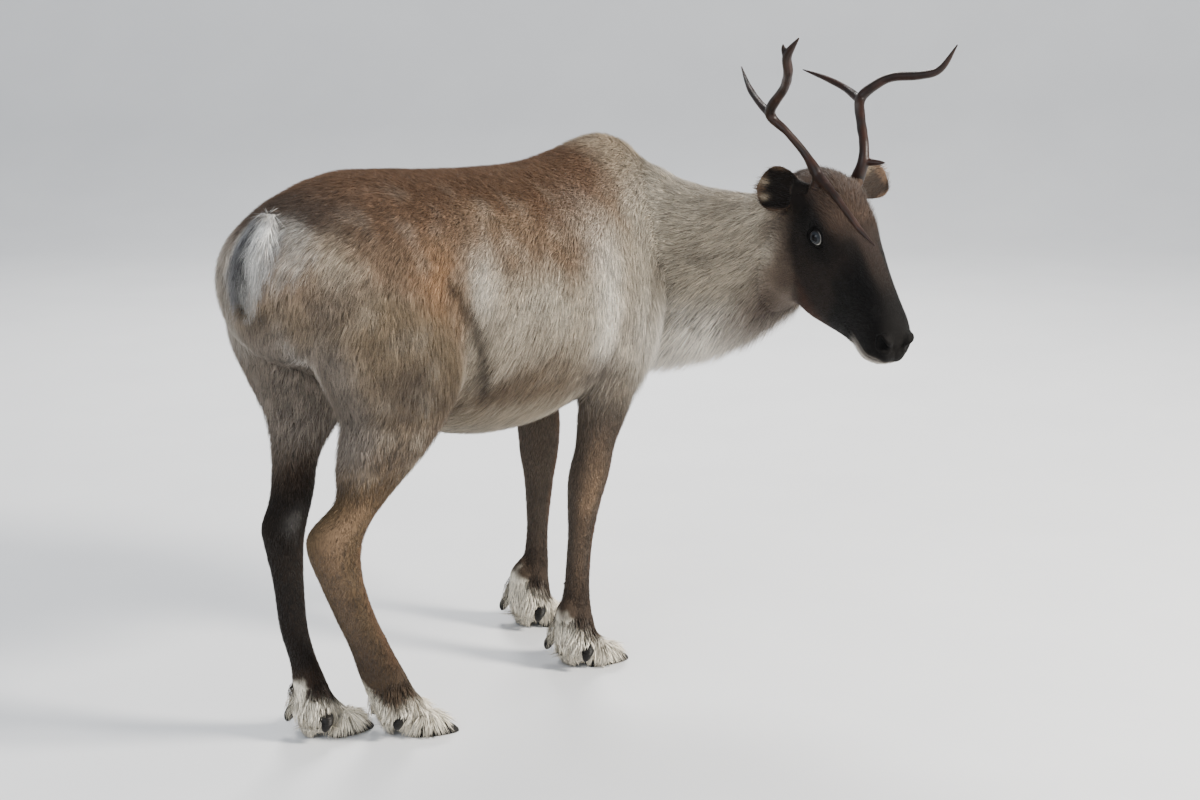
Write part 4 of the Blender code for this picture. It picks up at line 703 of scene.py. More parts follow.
def make_skin():
    """The one skin: the overlapping forms are remeshed into a single surface, smoothed and thinned where the coat is
    long, then drawn in by the depth of the coat and given its face. The ears, lids and dock are closed into it."""
    forms = [torso_form(), neck_form()] + skull_forms()
    for name in LEGS:
        forms += [leg_form(name), foot_form(name)] + toe_forms(name)
    skin = add_mesh("skin", *joined(forms))
    remesh = skin.modifiers.new("Fuse", "REMESH")
    remesh.mode = "VOXEL"
    remesh.voxel_size = SKIN_VOXEL
    apply_modifiers(skin)
    smooth = skin.modifiers.new("Smooth", "SMOOTH")
    smooth.factor = 0.5
    smooth.iterations = 12
    apply_modifiers(skin)
    points, faces, _ = mesh_arrays(skin)
    head, _, _, _ = parts_of(points)
    coarse = skin.vertex_groups.new(name="coarse")
    low = points[:, 2] < 0.35
    coarse.add([int(index) for index in np.flatnonzero((head < 0.5) & ~low)], 0.98, "REPLACE")
    coarse.add([int(index) for index in np.flatnonzero((head < 0.5) & low)], 0.96, "REPLACE")
    thin = skin.modifiers.new("Thin", "DECIMATE")
    thin.ratio = min(1.0, SKIN_TRIANGLES / len(faces))
    thin.use_collapse_triangulate = True
    thin.vertex_group = "coarse"
    thin.vertex_group_factor = 1.0
    apply_modifiers(skin)
    points, faces, normals = mesh_arrays(skin)
    bpy.data.objects.remove(skin)
    points = points - normals * coat_depth(points)[:, None]
    points = shape_face(points, normals)
    ears = [ear_form(name) for name in EARS]
    extra = ears + [tail_form(points)] + lid_forms(1) + lid_forms(-1)
    marks = np.concatenate([np.zeros(len(points))] + [np.full(len(form[0]), kind) for form, kind in
                                                      zip(extra, (1, 2, 3, 4, 4, 4, 4))])
    skin = add_mesh("skin", *joined([(points, faces)] + extra))
    return skin, marks.astype(int)


def linear(colour):
    """An sRGB hex colour as linear values."""
    value = np.array([int(colour[k:k + 2], 16) for k in (1, 3, 5)]) / 255
    return np.where(value <= 0.04045, value / 12.92, ((value + 0.055) / 1.055) ** 2.4)


def mix(colours, colour, share):
    """Moves each row of colours towards one colour by its share."""
    return colours + (linear(colour) - colours) * np.clip(share, 0, 1)[:, None]


def spot(points, centre, sizes):
    """1 at a place, falling smoothly to 0 round it."""
    return np.exp(-(((points - np.array(centre)) / np.array(sizes)) ** 2).sum(axis=1))


# Markings of the flank, with painted light and shade among them: colour, strength, then place and size as x, z. Both
# sides carry them.
FLANK_MARKS_AND_PAINTED_LIGHT = (
    ("#5b4533", 0.60, (-0.420, 0.925), (0.050, 0.028)), ("#5b4533", 0.55, (-0.290, 0.935), (0.060, 0.030)),
    ("#5f4936", 0.50, (-0.060, 0.930), (0.100, 0.030)), ("#b3a48e", 0.70, (-0.490, 0.872), (0.045, 0.045)),
    ("#dfd5c4", 0.92, (-0.200, 0.802), (0.044, 0.044)), ("#b18760", 0.72, (-0.305, 0.826), (0.046, 0.050)),
    ("#a07b57", 0.60, (-0.262, 0.765), (0.026, 0.062)), ("#4b3c30", 0.60, (-0.120, 0.610), (0.030, 0.030)),
    # The bright cream streak behind the shoulder, #efe8da at (0.165, 0.700), is painted sunlight.
    ("#c6bba8", 0.80, (-0.030, 0.735), (0.130, 0.055)), ("#efe8da", 0.90, (0.165, 0.700), (0.055, 0.145)),
    # The dark mark under the shoulder, #53453a at (0.160, 0.585), is dark hair with painted shade.
    ("#66533f", 0.85, (-0.030, 0.600), (0.185, 0.040)), ("#53453a", 0.70, (0.160, 0.585), (0.060, 0.035)),
    ("#c7bdad", 0.60, (0.375, 0.900), (0.050, 0.060)), ("#6d5d4e", 0.55, (0.290, 0.975), (0.060, 0.030)),
    # The dark marks beside the tail, #574e46 at (-0.505, 0.812), and low on the thigh, #4f463f at (-0.400, 0.660), are
    # painted shade.
    ("#574e46", 0.60, (-0.505, 0.812), (0.034, 0.032)), ("#4f463f", 0.55, (-0.400, 0.660), (0.050, 0.060)),
)


def torso_colour(points, normals, wander):
    """Warm brown back, greying to cream down the flank, a brown band low on the side, a pale belly, streaked
    thighs, and the flank's own patches, painted light and shade among them. Painted shade also darkens the
    lower thigh, the crease in front of the thigh, the inside of the thighs and the rump where it faces back."""
    x, y, z = points.T
    side = step(np.abs(y), 0.05, 0.13)
    colour = np.tile(linear("#705744"), (len(points), 1))
    colour = mix(colour, "#8b745d", 0.80 * step(z + wander, 0.935, 0.860))
    colour = mix(colour, "#4b423b", 0.80 * step(x, -0.36, -0.48) * step(z, 0.88, 0.93))
    edge = np.interp(x, (-0.30, -0.10, 0.15, 0.24), (0.850, 0.822, 0.822, 0.880))
    colour = mix(colour, "#b4a793", 0.90 * step(z + 0.6 * wander - edge, 0.010, -0.100))
    colour = mix(colour, "#c0b6a5", 0.80 * step(x + wander, 0.225, 0.320) * step(z, 0.95, 0.85))
    colour = mix(colour, "#b3a48d", 0.70 * step(x, 0.24, 0.33) * step(z, 0.88, 0.94))
    colour = mix(colour, "#78664f", 0.88 * step(x + wander, -0.215, -0.300) * step(z + wander, 0.850, 0.790))
    # Painted shade: the lower thigh, behind x -0.15 and below z 0.68, is darkened towards #564b41.
    colour = mix(colour, "#564b41", 0.78 * step(x, -0.15, -0.22) * step(z + wander, 0.68, 0.54))
    flat = np.column_stack([x + 0.5 * wander, z + 0.5 * wander])
    for hue, strength, centre, size in FLANK_MARKS_AND_PAINTED_LIGHT:
        colour = mix(colour, hue, strength * spot(flat, centre, size) * side)
    mottle = waves(points, 0.055, 6)
    colour = mix(colour, "#c9beac", 0.16 * step(mottle, 0.1, 1.2) * side)
    colour = mix(colour, "#46382d", 0.16 * step(mottle, -0.1, -1.2) * side)
    colour = mix(colour, "#b5aa99", 0.90 * step(z + 0.5 * wander, 0.535, 0.500) * step(np.abs(x), 0.42, 0.30))
    # The crease in front of the thigh is painted #33291f: its dark hair with painted shade in the fold.
    crease = np.interp(z, (0.590, 0.630, 0.730, 0.780, 0.832), (-0.140, -0.170, -0.215, -0.250, -0.285))
    dark = np.exp(-((x - crease + 0.3 * wander) / 0.013) ** 2) * step(z, 0.570, 0.620) * step(z, 0.850, 0.800)
    colour = mix(colour, "#33291f", 0.85 * dark * side)
    # Painted shade: the inside of the thighs and the rump where its surface faces back are greyed towards #746b62.
    between_thighs_shade = step(np.abs(y), 0.10, 0.05) * step(z, 0.84, 0.74) * step(x, -0.20, -0.30)
    rear = step(normals[:, 0], -0.45, -0.85) * step(x, -0.38, -0.46) * step(z, 0.80, 0.72)
    return mix(colour, "#746b62", 0.80 * np.maximum(between_thighs_shade, rear) * step(z, 0.45, 0.55))


def neck_colour(colour, points, neck, wander):
    """Greyish cream, darker on top towards the head (dark streaks with painted shade), with the off-white mane
    beneath and its folds painted dark: partings in the hair with painted shade in them.
    """
    share, _, over = neck_place(points)
    colour = mix(colour, "#aca18f", 0.94 * neck)
    # The top towards the head is darkened: dark streaks with painted shade.
    colour = mix(colour, "#746859", 0.35 * neck * step(over + 0.6 * wander, 0.070, 0.130) * step(share, 0.40, 0.65))
    colour = mix(colour, "#d9d2c6", 0.95 * neck * step(over + 0.4 * wander, -0.015, -0.095))
    # The folds are painted #5f574e: partings in the hair with painted shade in them.
    for place, size, strength in (((0.30, -0.035), (0.050, 0.055), 0.60), ((0.50, -0.055), (0.080, 0.010), 0.30),
                                  ((0.50, 0.030), (0.120, 0.009), 0.45)):
        flat = np.column_stack([share, over + 0.5 * wander])
        colour = mix(colour, "#5f574e", strength * neck * spot(flat, place, size))
    return colour


def leg_colour(colour, points, name, share_of, wander):
    """Dark brown shank and cannon with a redder front and a lighter side to the joint, and the cream foot, which
    the brown runs down over in front. The right hind's lighter brown is painted sunlight, and the left hind's
    near black shank is its dark hair with painted shade."""
    z = points[:, 2]
    _, ahead, aside = leg_place(name, points)
    hind = name.startswith("hind")
    outer = step(-aside * (1 if "right" in name else -1), 0.0, 0.7)
    # The right hind leg gets a lighter brown than the others: painted sunlight on the leg that faces the light.
    dark = "#54432f" if name == "hind_right" else "#32261d"
    colour = mix(colour, dark, 0.92 * share_of * step(z + wander, *((0.560, 0.440) if hind else (0.650, 0.545))))
    shank = step(z, 0.50, 0.42) * step(z, 0.10, 0.16)
    colour = mix(colour, "#6a4a35", 0.60 * share_of * step(ahead + 6 * wander, 0.10, 0.90) * shank)
    colour = mix(colour, "#63503f", 0.45 * share_of * outer * shank * step(ahead, 0.2, -0.5))
    joint = 0.425 if hind else 0.355
    flat = np.column_stack([z - 0.05 * ahead, ahead])
    colour = mix(colour, "#7b634c", 0.50 * share_of * spot(flat, (joint, -0.35), (0.050, 0.45)) * outer)
    colour = mix(colour, "#33271e", 0.60 * share_of * step(z, 0.250, 0.130))
    # The left hind's shank is painted near black: painted shade over its dark brown hair.
    if name == "hind_left":
        colour = mix(colour, "#15110e", 0.85 * share_of * step(z, 0.50, 0.42) * step(z, 0.10, 0.16))
        flat = np.column_stack([z, ahead, aside])
        colour = mix(colour, "#6e6964", 0.75 * share_of * spot(flat, (0.396, -0.2, -0.8), (0.020, 0.35, 0.40)))
    ahead = np.clip(ahead, -1, 1) * step(np.abs(aside), 1.15, 0.55)
    edge = (0.084 - 0.026 * ahead) if hind else (0.078 - 0.032 * ahead)
    ragged = 0.25 * wander + 0.004 * waves(points, 0.022, 5)
    colour = mix(colour, "#e6ddca", 0.97 * share_of * step(z + ragged - edge, 0.012, -0.010))
    return colour


def tail_colour(colour, points, tail):
    """White hair on the right of a dark grey stripe and, on its left, hair greyed as painted shade, with a dark cleft
    below it and a narrow pale edge to the rump beside it. Painted shade also greys the rump beside the tail on its
    far side and darkens the fold beside the tail."""
    x, y, z = points.T
    rows = through(TAIL, 4)[::-1]
    across = (y - np.interp(z, rows[:, 0], rows[:, 1])) / np.interp(z, rows[:, 0], rows[:, 2])
    across = across + 0.22 * waves(points, 0.016, 8)
    edge = np.interp(z, (0.790, 0.850, 0.920), (-0.45, -0.70, -0.85))
    colour = mix(colour, "#dedcd7", 0.96 * tail * step(across - edge, -0.25, 0.25))
    # Painted shade: the tail's hair left of the stripe is greyed to #727173.
    colour = mix(colour, "#727173", 0.88 * tail * step(across, 0.10, 0.30))
    colour = mix(colour, "#151312", 0.97 * tail * np.exp(-((across - 0.18) / 0.20) ** 2) * step(z, 0.800, 0.850))
    # Painted shade: the rump beside the tail on its far side is greyed to #a39c92.
    far = step(y, 0.025, 0.060) * step(x, -0.44, -0.51) * step(z, 0.925, 0.890) * step(z, 0.68, 0.74)
    colour = mix(colour, "#a39c92", 0.75 * (1 - tail) * far)
    beside = (1 - tail) * (x < -0.47)
    colour = mix(colour, "#c6bfb3", 0.65 * beside * step(np.abs(across + 0.25), 1.70, 1.05) * step(z, 0.82, 0.86)
                 * step(z, 0.948, 0.918))
    flat = np.column_stack([y, z])
    colour = mix(colour, "#1d1815", 0.95 * (x < -0.50) * (1 - 0.6 * tail) * spot(flat, (-0.028, 0.804), (0.008, 0.022)))
    # Painted shadow under the slanting ridge of hair beside the tail, #4f4b48.
    fold = np.column_stack([y - 1.3 * (z - 0.862), z])
    colour = mix(colour, "#4f4b48", 0.65 * beside * spot(fold, (-0.070, 0.862), (0.010, 0.018)))
    return mix(colour, "#b8b0a6", 0.65 * beside * spot(flat, (-0.062, 0.700), (0.011, 0.070)))


def head_colour(colour, points, head, wander):
    """A near black face and muzzle, dark brown cheeks with a redder jaw edge, a bushy brown crown, and pale hair on
    the edge of the lips and the chin. The neck's cream reaches forward over the back of the jaw. Painted shade
    darkens the temple, the ring round each eye and the nostrils, and the chin's pale hair is brightened as
    painted light from behind."""
    place = to_head(points)
    forward, aside, level = place.T
    edge = np.interp(level, (-0.205, -0.145, -0.115, -0.090, -0.050, 0.000), (0.130, 0.110, 0.062, 0.030, -0.005, -0.030))
    beyond = forward - edge + 0.6 * wander
    head = (np.linalg.norm(place - (0.15, 0.0, -0.10), axis=1) < 0.30) * step(beyond, -0.050, 0.012)
    colour = mix(colour, "#54453a", 0.92 * head)
    colour = mix(colour, "#1c1512", 0.94 * head * step(beyond, -0.006, 0.044))
    colour = mix(colour, "#452d22", 0.70 * head * step(level + 0.3 * forward, -0.095, -0.130) * step(forward, 0.275, 0.225)
                 * step(beyond, 0.010, 0.040))
    colour = mix(colour, "#090706", 0.97 * head * step(forward + 0.4 * level + wander, 0.140, 0.190))
    # The temple and the ring round each eye are painted near black: the face's dark hair with painted shade in the
    # hollows.
    temple_shade = np.exp(-((forward - 0.085) / 0.060) ** 2 - ((level + 0.044) / 0.034) ** 2)
    colour = mix(colour, "#0a0807", 0.94 * head * temple_shade * step(np.abs(aside), 0.030, 0.046))
    eye = np.exp(-((forward - 0.130) / 0.042) ** 2 - ((level + 0.058) / 0.036) ** 2)
    colour = mix(colour, "#0a0807", 0.94 * head * eye * step(np.abs(aside), 0.030, 0.045))
    crown = crown_share(place + 0.25 * wander[:, None])
    colour = mix(colour, "#4b3c32", 0.94 * crown * head)
    colour = mix(colour, "#3a2e27", 0.55 * head * step(level, -0.040, -0.024) * step(forward, 0.330, 0.180)
                 * step(np.abs(aside), 0.026, 0.012) * (1 - crown))
    muzzle = step(forward, 0.280, 0.312)
    under = level - np.interp(forward, MOUTH[:, 0], MOUTH[:, 1])
    # The chin's pale hair, #b9b3a9: its own pale hair, brightened as painted light from behind.
    colour = mix(colour, "#b9b3a9", 0.88 * head * muzzle * step(under, 0.001, -0.008))
    lip = np.exp(-((mouth_distance(place) - 0.004) / 0.0030) ** 2)
    colour = mix(colour, "#7d766e", 0.65 * head * muzzle * lip)
    # The nostrils are painted black: painted shade inside them.
    for sign in (1, -1):
        colour = mix(colour, "#030303", head * step(nostril_reach(place, sign), 1.10, 0.85))
    return colour


def ear_colour(colour, points, normals, ears):
    """Brown fuzz on the back and rim of each ear, a dark cup (dark skin with painted shade in the hollow), and pale
    tufts along one side of the cup.
    """
    for mark, name in ((1, "left"), (2, "right")):
        here = ears == mark
        along_ear, across, _ = ear_place(name, points)
        inside = step(normals @ head_vector(*EARS[name][2]), 0.0, 0.5)
        rim = step(np.maximum(np.abs(across), along_ear), 0.74, 0.95)
        colour = np.where(here[:, None], linear("#4a3c32"), colour)
        # The cups are painted dark, the right one darker: their dark skin with painted shade in the hollow.
        colour = mix(colour, "#14100d" if name == "right" else "#2e2620", here * inside * 0.95)
        colour = mix(colour, "#6d5847", here * 0.85 * rim)
        flat = np.column_stack([along_ear, across])
        if name == "right":
            pale = spot(flat, (0.86, 0.26), (0.08, 0.13)) + spot(flat, (0.80, -0.38), (0.09, 0.13))
        else:
            pale = 0.7 * spot(flat, (0.50, -0.60), (0.30, 0.25))
        colour = mix(colour, "#a8977f", here * inside * np.clip(pale, 0, 1) * 0.9)
    return mix(colour, "#0b0908", 1.0 * (ears == 4))


def markings(points, normals, ears):
    """The coat's colour at its tips for every point: the same pattern serves the skin and the tufts."""
    head, neck, legs, tail = parts_of(points)
    wander = 0.020 * waves(points, 0.16, 1) + 0.008 * waves(points, 0.05, 2)
    colour = torso_colour(points, normals, wander)
    colour = neck_colour(colour, points, neck + head, wander)
    for name, share_of in legs.items():
        colour = leg_colour(colour, points, name, share_of, wander)
    colour = tail_colour(colour, points, tail)
    colour = head_colour(colour, points, head, wander)
    return ear_colour(colour, points, normals, ears)


def lie_of_coat(points, normals, ears):
    """The way the hair lies at each point: back along the body, down the legs and tail, back from the nose."""
    head, neck, legs, tail = parts_of(points)
    x, y, z = points.T
    lie = np.tile([-1.0, 0.0, -0.18], (len(points), 1))
    lie[:, 2] -= 0.20 * step(z, 0.96, 0.88) + 0.75 * step(z, 0.90, 0.72)
    shoulder = step(x, 0.12, 0.28) * step(z, 0.90, 0.75)
    lie = lie + shoulder[:, None] * np.array([0.45, 0.0, -0.60])
    rump = step(x, -0.20, -0.42)
    lie = lie + rump[:, None] * (np.array([0.35, 0.0, -0.85]) * step(z, 0.95, 0.75)[:, None])
    rows, way, _, _ = neck_frames()
    share, _, over = neck_place(points)
    back = -way[np.clip((share * (len(rows) - 1)).astype(int), 0, len(rows) - 1)]
    hang = np.column_stack([0 * x, 0 * x, -0.25 - 0.75 * step(over, 0.02, -0.10)])
    lie = lie + (unit(back + hang) - lie) * neck[:, None]
    for name, share_of in legs.items():
        forward, _ = heading_frame(FEET[name][2])
        down = np.array([0.0, 0.0, -1.0]) - 0.22 * forward * step(z, 0.30, 0.42)[:, None]
        _, ahead, _ = leg_place(name, points)
        down = down + forward * (0.62 * step(z, 0.105, 0.060) * step(ahead, 0.10, 0.75))[:, None]
        lie = lie + (unit(down) - unit(lie)) * share_of[:, None]
    rows = through(TAIL, 4)[::-1]
    across = (y - np.interp(z, rows[:, 0], rows[:, 1])) / np.interp(z, rows[:, 0], rows[:, 2])
    stream = np.column_stack([0 * z, -0.05 - 0.32 * np.clip(across, -1, 1), 0 * z - 1.0])
    lie = lie + (stream - lie) * tail[:, None]
    place = to_head(points)
    face = -NOSE - 0.35 * OUT * step(place[:, 2], -0.05, -0.14)[:, None]
    face = face + 0.25 * LEFT * (np.sign(place[:, 1]) * step(np.abs(place[:, 1]), 0.0, 0.03))[:, None]
    lie = lie + (face - lie) * head[:, None]
    for mark, name in ((1, "left"), (2, "right")):
        axis = head_vector(*EARS[name][1])
        lie = np.where((ears == mark)[:, None], axis, lie)
    lie = unit(lie)
    crown = crown_share(place) * head
    loose = 0.10 + 0.38 * crown
    drift = np.column_stack([waves(points, 0.07, 11), waves(points, 0.07, 12), waves(points, 0.07, 13)])
    lie = lie + loose[:, None] * drift
    return unit(lie - normals * dot(lie, normals)[:, None])


def coat_sizes(points, normals, ears):
    """Length, width and rise of the tufts in metres at each point, and how closely they are set."""
    head, neck, legs, tail = parts_of(points)
    x, y, z = points.T
    length = 0.025 + 0.006 * step(z, 0.90, 0.78) + 0.006 * step(z, 0.62, 0.52) + 0.005 * step(x, -0.25, -0.40)
    width = np.full(len(points), 0.0020)
    rise = coat_depth(points) * 0.92
    bare = np.zeros(len(points), bool)
    share, _, over = neck_place(points)
    mane = neck * step(over, -0.045, -0.100)
    length += (0.030 - length) * neck
    width += (0.0019 - width) * neck
    length += 0.026 * mane
    rise += (MANE_DEPTH * 1.0 + 0.006 - rise) * mane * step(share, 0.26, 0.42)
    for name, share_of in legs.items():
        _, ahead, _ = leg_place(name, points)
        leg = 0.0125 + 0.010 * step(z, 0.42, 0.60) + 0.007 * step(ahead, -0.3, -0.9) * step(z, 0.34, 0.42)
        length += (leg - length) * share_of
        width += (0.0015 - width) * share_of * step(z, 0.60, 0.42)
        foot = share_of * step(z, 0.135, 0.070)
        length += (0.040 - 0.006 * step(ahead, 0.2, 0.8) - length) * foot
        width += (0.0021 - width) * foot
        rise += (0.012 - 0.006 * step(ahead, 0.3, 0.8) - rise) * foot * step(z, 0.120, 0.050)
        for sign in (1, -1):
            claw = foot_place(name, DEWCLAW_BACK, sign * DEWCLAW_SIDE * FEET[name][3], DEWCLAW_Z - 0.010)
            near = np.linalg.norm((points - claw) / (1.0, 1.0, 1.3), axis=1)
            bare |= near < 0.0145
            length *= 1 - 0.50 * step(near, 0.034, 0.020) * share_of * step(z, 0.052, 0.042)
            over = step(np.linalg.norm((points - claw)[:, :2], axis=1), 0.032, 0.020) * step(z, 0.042, 0.052)
            rise += (0.026 - rise) * over * foot
            length *= 1 - 0.18 * over * foot
    length += (0.046 - length) * tail
    width += (0.0020 - width) * tail
    rise += (0.006 + 0.006 * step(z, 0.935, 0.890) - rise) * tail
    place = to_head(points)
    face = 0.0060 + 0.0085 * step(place[:, 0], 0.12, 0.0) + 0.003 * step(place[:, 2], -0.10, -0.17)
    face -= 0.0018 * step(place[:, 0], 0.24, 0.30)
    length += (face - length) * head
    width += (0.0009 + 0.0005 * step(place[:, 0], 0.12, 0.0) - width) * head
    crown = crown_share(place) * head
    length += (0.0190 - length) * crown
    rise += (0.0105 - rise) * crown
    chin = head * step(place[:, 2], -0.128, -0.142) * step(place[:, 0], 0.265, 0.310)
    length += (0.0160 - length) * chin
    rise += (0.0055 - rise) * chin
    close = 1.75 / (0.5 * length * width)
    for sign in (1, -1):
        slit = eye_place(points, sign)
        reach = np.hypot(slit[:, 0] / (EYE_HALF_LENGTH + 0.0020), slit[:, 1] / (EYE_HALF_HEIGHT + 0.0022))
        bare |= (reach < 1) & (slit[:, 2] > -0.01)
        bare |= nostril_reach(place, sign) < 1.15
    for mark, name in ((1, "left"), (2, "right")):
        along_ear, across, out = ear_place(name, points)
        beside = np.maximum(np.maximum(-along_ear, along_ear - 1.0) * 3, np.hypot(across, out)) + 9.0 * (ears > 0)
        bare |= beside < 0.75
        length = length * (1 - 0.45 * step(beside, 1.6, 0.9))
        rise = rise * (1 - 0.50 * step(beside, 1.6, 0.9))
        inside = normals @ head_vector(*EARS[name][2]) > 0.15
        here = ears == mark
        rim = step(np.maximum(np.abs(across), along_ear), 0.70, 0.95)
        length = np.where(here, np.where(inside, 0.0135, 0.0100) + 0.004 * rim, length)
        width = np.where(here, 0.0010, width)
        rise = np.where(here, np.where(inside, 0.0045, 0.0030) + 0.003 * rim, rise)
        close = np.where(here, np.where(inside, 120000, 240000), close)
    close[(ears == 4) | bare] = 0
    close[z < 0.026] *= 0.5
    close[(z >= 0.026) & (z < 0.062)] *= 1.7
    return length, width, rise, close


def surface_finder(points, faces, size=0.009):
    """Faces are sorted into cubic cells, each with its summed area, middle and normal. The function returned reads
    the 27 cells round each place, weighs them by nearness and by facing the same way as the root, and gives the
    height over their common plane and that plane's normal."""
    corner = points[faces]
    normal = np.cross(corner[:, 1] - corner[:, 0], corner[:, 2] - corner[:, 0]) / 2
    area = np.linalg.norm(normal, axis=1)
    middle = corner.mean(axis=1)
    low = middle.min(axis=0) - 4 * size
    count = np.ceil((middle.max(axis=0) + 4 * size - low) / size).astype(int)
    stride = np.array([count[1] * count[2], count[2], 1])
    cell = np.floor((middle - low) / size).astype(int) @ stride
    total = int(count.prod())
    sums = [np.bincount(cell, weights, total) for weights in (area, *(area[:, None] * middle).T, *normal.T)]
    table = np.stack(sums, axis=1).astype(np.float32)

    def find(places, facing):
        base = np.clip(np.floor((places - low) / size).astype(int), 1, count - 2)
        weight = np.zeros(len(places))
        centre = np.zeros((len(places), 3))
        plane = np.zeros((len(places), 3))
        for dx in (-1, 0, 1):
            for dy in (-1, 0, 1):
                for dz in (-1, 0, 1):
                    row = table[(base + (dx, dy, dz)) @ stride].astype(float)
                    mass = np.maximum(row[:, 0], 1e-12)
                    at = row[:, 1:4] / mass[:, None]
                    way = row[:, 4:7] / mass[:, None]
                    near = np.exp(-((places - at) ** 2).sum(axis=1) / (2 * (0.8 * size) ** 2))
                    share = row[:, 0] * near * np.clip(dot(way, facing), 0, 1) ** 2
                    weight += share
                    centre += share[:, None] * at
                    plane += share[:, None] * way
        good = weight > 1e-9
        centre = centre / np.maximum(weight, 1e-12)[:, None]
        plane = np.where(good[:, None], unit(plane), facing)
        return np.where(good, dot(places - centre, plane), np.nan), plane

    return find


def scatter(points, faces, close, count, random):
    """Tuft roots spread evenly: the running total of area times closeness is cut into equal steps, one root in
    each, so that neighbouring faces share them fairly. Gives the face and the three corner shares of each root."""
    corner = points[faces]
    area = np.linalg.norm(np.cross(corner[:, 1] - corner[:, 0], corner[:, 2] - corner[:, 0]), axis=1) / 2
    total = np.cumsum(area * close[faces].mean(axis=1))
    face = np.searchsorted(total, total[-1] * (np.arange(count) + random.uniform(0, 1, count)) / count)
    face = np.minimum(face, len(faces) - 1)
    one, two = random.uniform(0, 1, (2, count))
    fold = one + two > 1
    one, two = np.where(fold, 1 - one, one), np.where(fold, 1 - two, two)
    return face, np.column_stack([one, two, 1 - one - two])


def tufts(name, roots, normals, lie, length, width, rise, base, tip, place, find, spans, arch=1.0, droop=None):
    """One mesh of closed, bent, three-sided tufts. Each runs from its root along the lie in equal steps, and every
    point of it is set over the skin at its share of the rise, so that it follows the body's curve. Half width and
    thickness taper to a point. Its UV patch is 0.003 across at its root's place."""
    count = len(roots)
    path = [roots - normals * 0.0012]
    way, facing = lie, normals
    current = roots
    for index in range(1, spans + 1):
        share = index / spans
        current = current + way * (length / spans)[:, None]
        height, plane = find(current, facing)
        wanted = rise * math.sin(math.pi / 2 * share ** arch)
        move = np.where(np.isnan(height) | (current[:, 2] < HANG_LEVEL), 0.0, wanted - height)
        current = current + plane * move[:, None]
        if droop is not None:
            current = current + droop * (length * share ** 2 / spans)[:, None]
        path.append(current)
        facing = np.where((current[:, 2] < HANG_LEVEL)[:, None], facing, plane)
        way = unit(way - facing * dot(way, facing)[:, None])
    rows = []
    taper = {1: (1.0,), 2: (0.80, 1.0), 3: (0.75, 1.0, 0.80)}[spans]
    path = np.stack(path, axis=1)
    way = unit(np.gradient(path, axis=1))
    across = unit(np.cross(way, normals[:, None, :]))
    over = np.cross(across, way)
    for index in range(spans):
        half = 0.5 * (width * taper[index])[:, None]
        thick = 0.42 * half
        centre, side, up = path[:, index], across[:, index], over[:, index]
        rows += [centre - side * half, centre + side * half, centre + up * thick]
    rows.append(path[:, spans])
    points = np.stack(rows, axis=1)
    points[..., 2] = np.maximum(points[..., 2], FLOOR_CLEARANCE)
    faces = [(0, 2, 1)]
    for index in range(spans - 1):
        low = 3 * index
        for one, two in ((0, 1), (1, 2), (2, 0)):
            faces += [(low + one, low + two, low + two + 3), (low + one, low + two + 3, low + one + 3)]
    last = 3 * (spans - 1)
    faces += [(last + one, last + two, last + 3) for one, two in ((0, 1), (1, 2), (2, 0))]
    faces = np.array(faces)
    corner = points[:1][:, faces][0]
    if dot(corner[:, 0] - points[0].mean(axis=0), np.cross(corner[:, 1] - corner[:, 0], corner[:, 2] - corner[:, 0])).sum() < 0:
        faces = faces[:, ::-1]
    verts = points.shape[1]
    all_faces = (faces[None] + verts * np.arange(count)[:, None, None]).reshape(-1, 3)
    made = add_mesh(name, points.reshape(-1, 3), all_faces)
    share = np.append(np.repeat(np.arange(spans) / spans, 3), 1.0)[None, :, None]
    # The root end carries base, painted darker than the tip as shade among the hair.
    colour = base[:, None, :] + (tip - base)[:, None, :] * share ** 0.8
    paint(made, "coat_colour", colour.reshape(-1, 3))
    side = np.append(np.tile([-1.0, 1.0, 0.0], spans), 0.0)
    patch = place[:, None, :] + 0.0030 * np.stack([0.5 * side, np.append(np.repeat(np.arange(spans) / spans, 3), 1.0)], axis=-1)[None]
    layer = made.data.uv_layers.new(name="OFBake")
    layer.data.foreach_set("uv", np.clip(patch.reshape(-1, 2)[all_faces.ravel()], 0, 1).astype(np.float32).ravel())
    return made


def paint(made, name, colours):
    """Stores a colour for each point of a mesh."""
    layer = made.data.color_attributes.new(name, "FLOAT_COLOR", "POINT")
    colours = np.column_stack([np.maximum(colours, 0), np.ones(len(colours))])
    layer.data.foreach_set("color", colours.astype(np.float32).ravel())


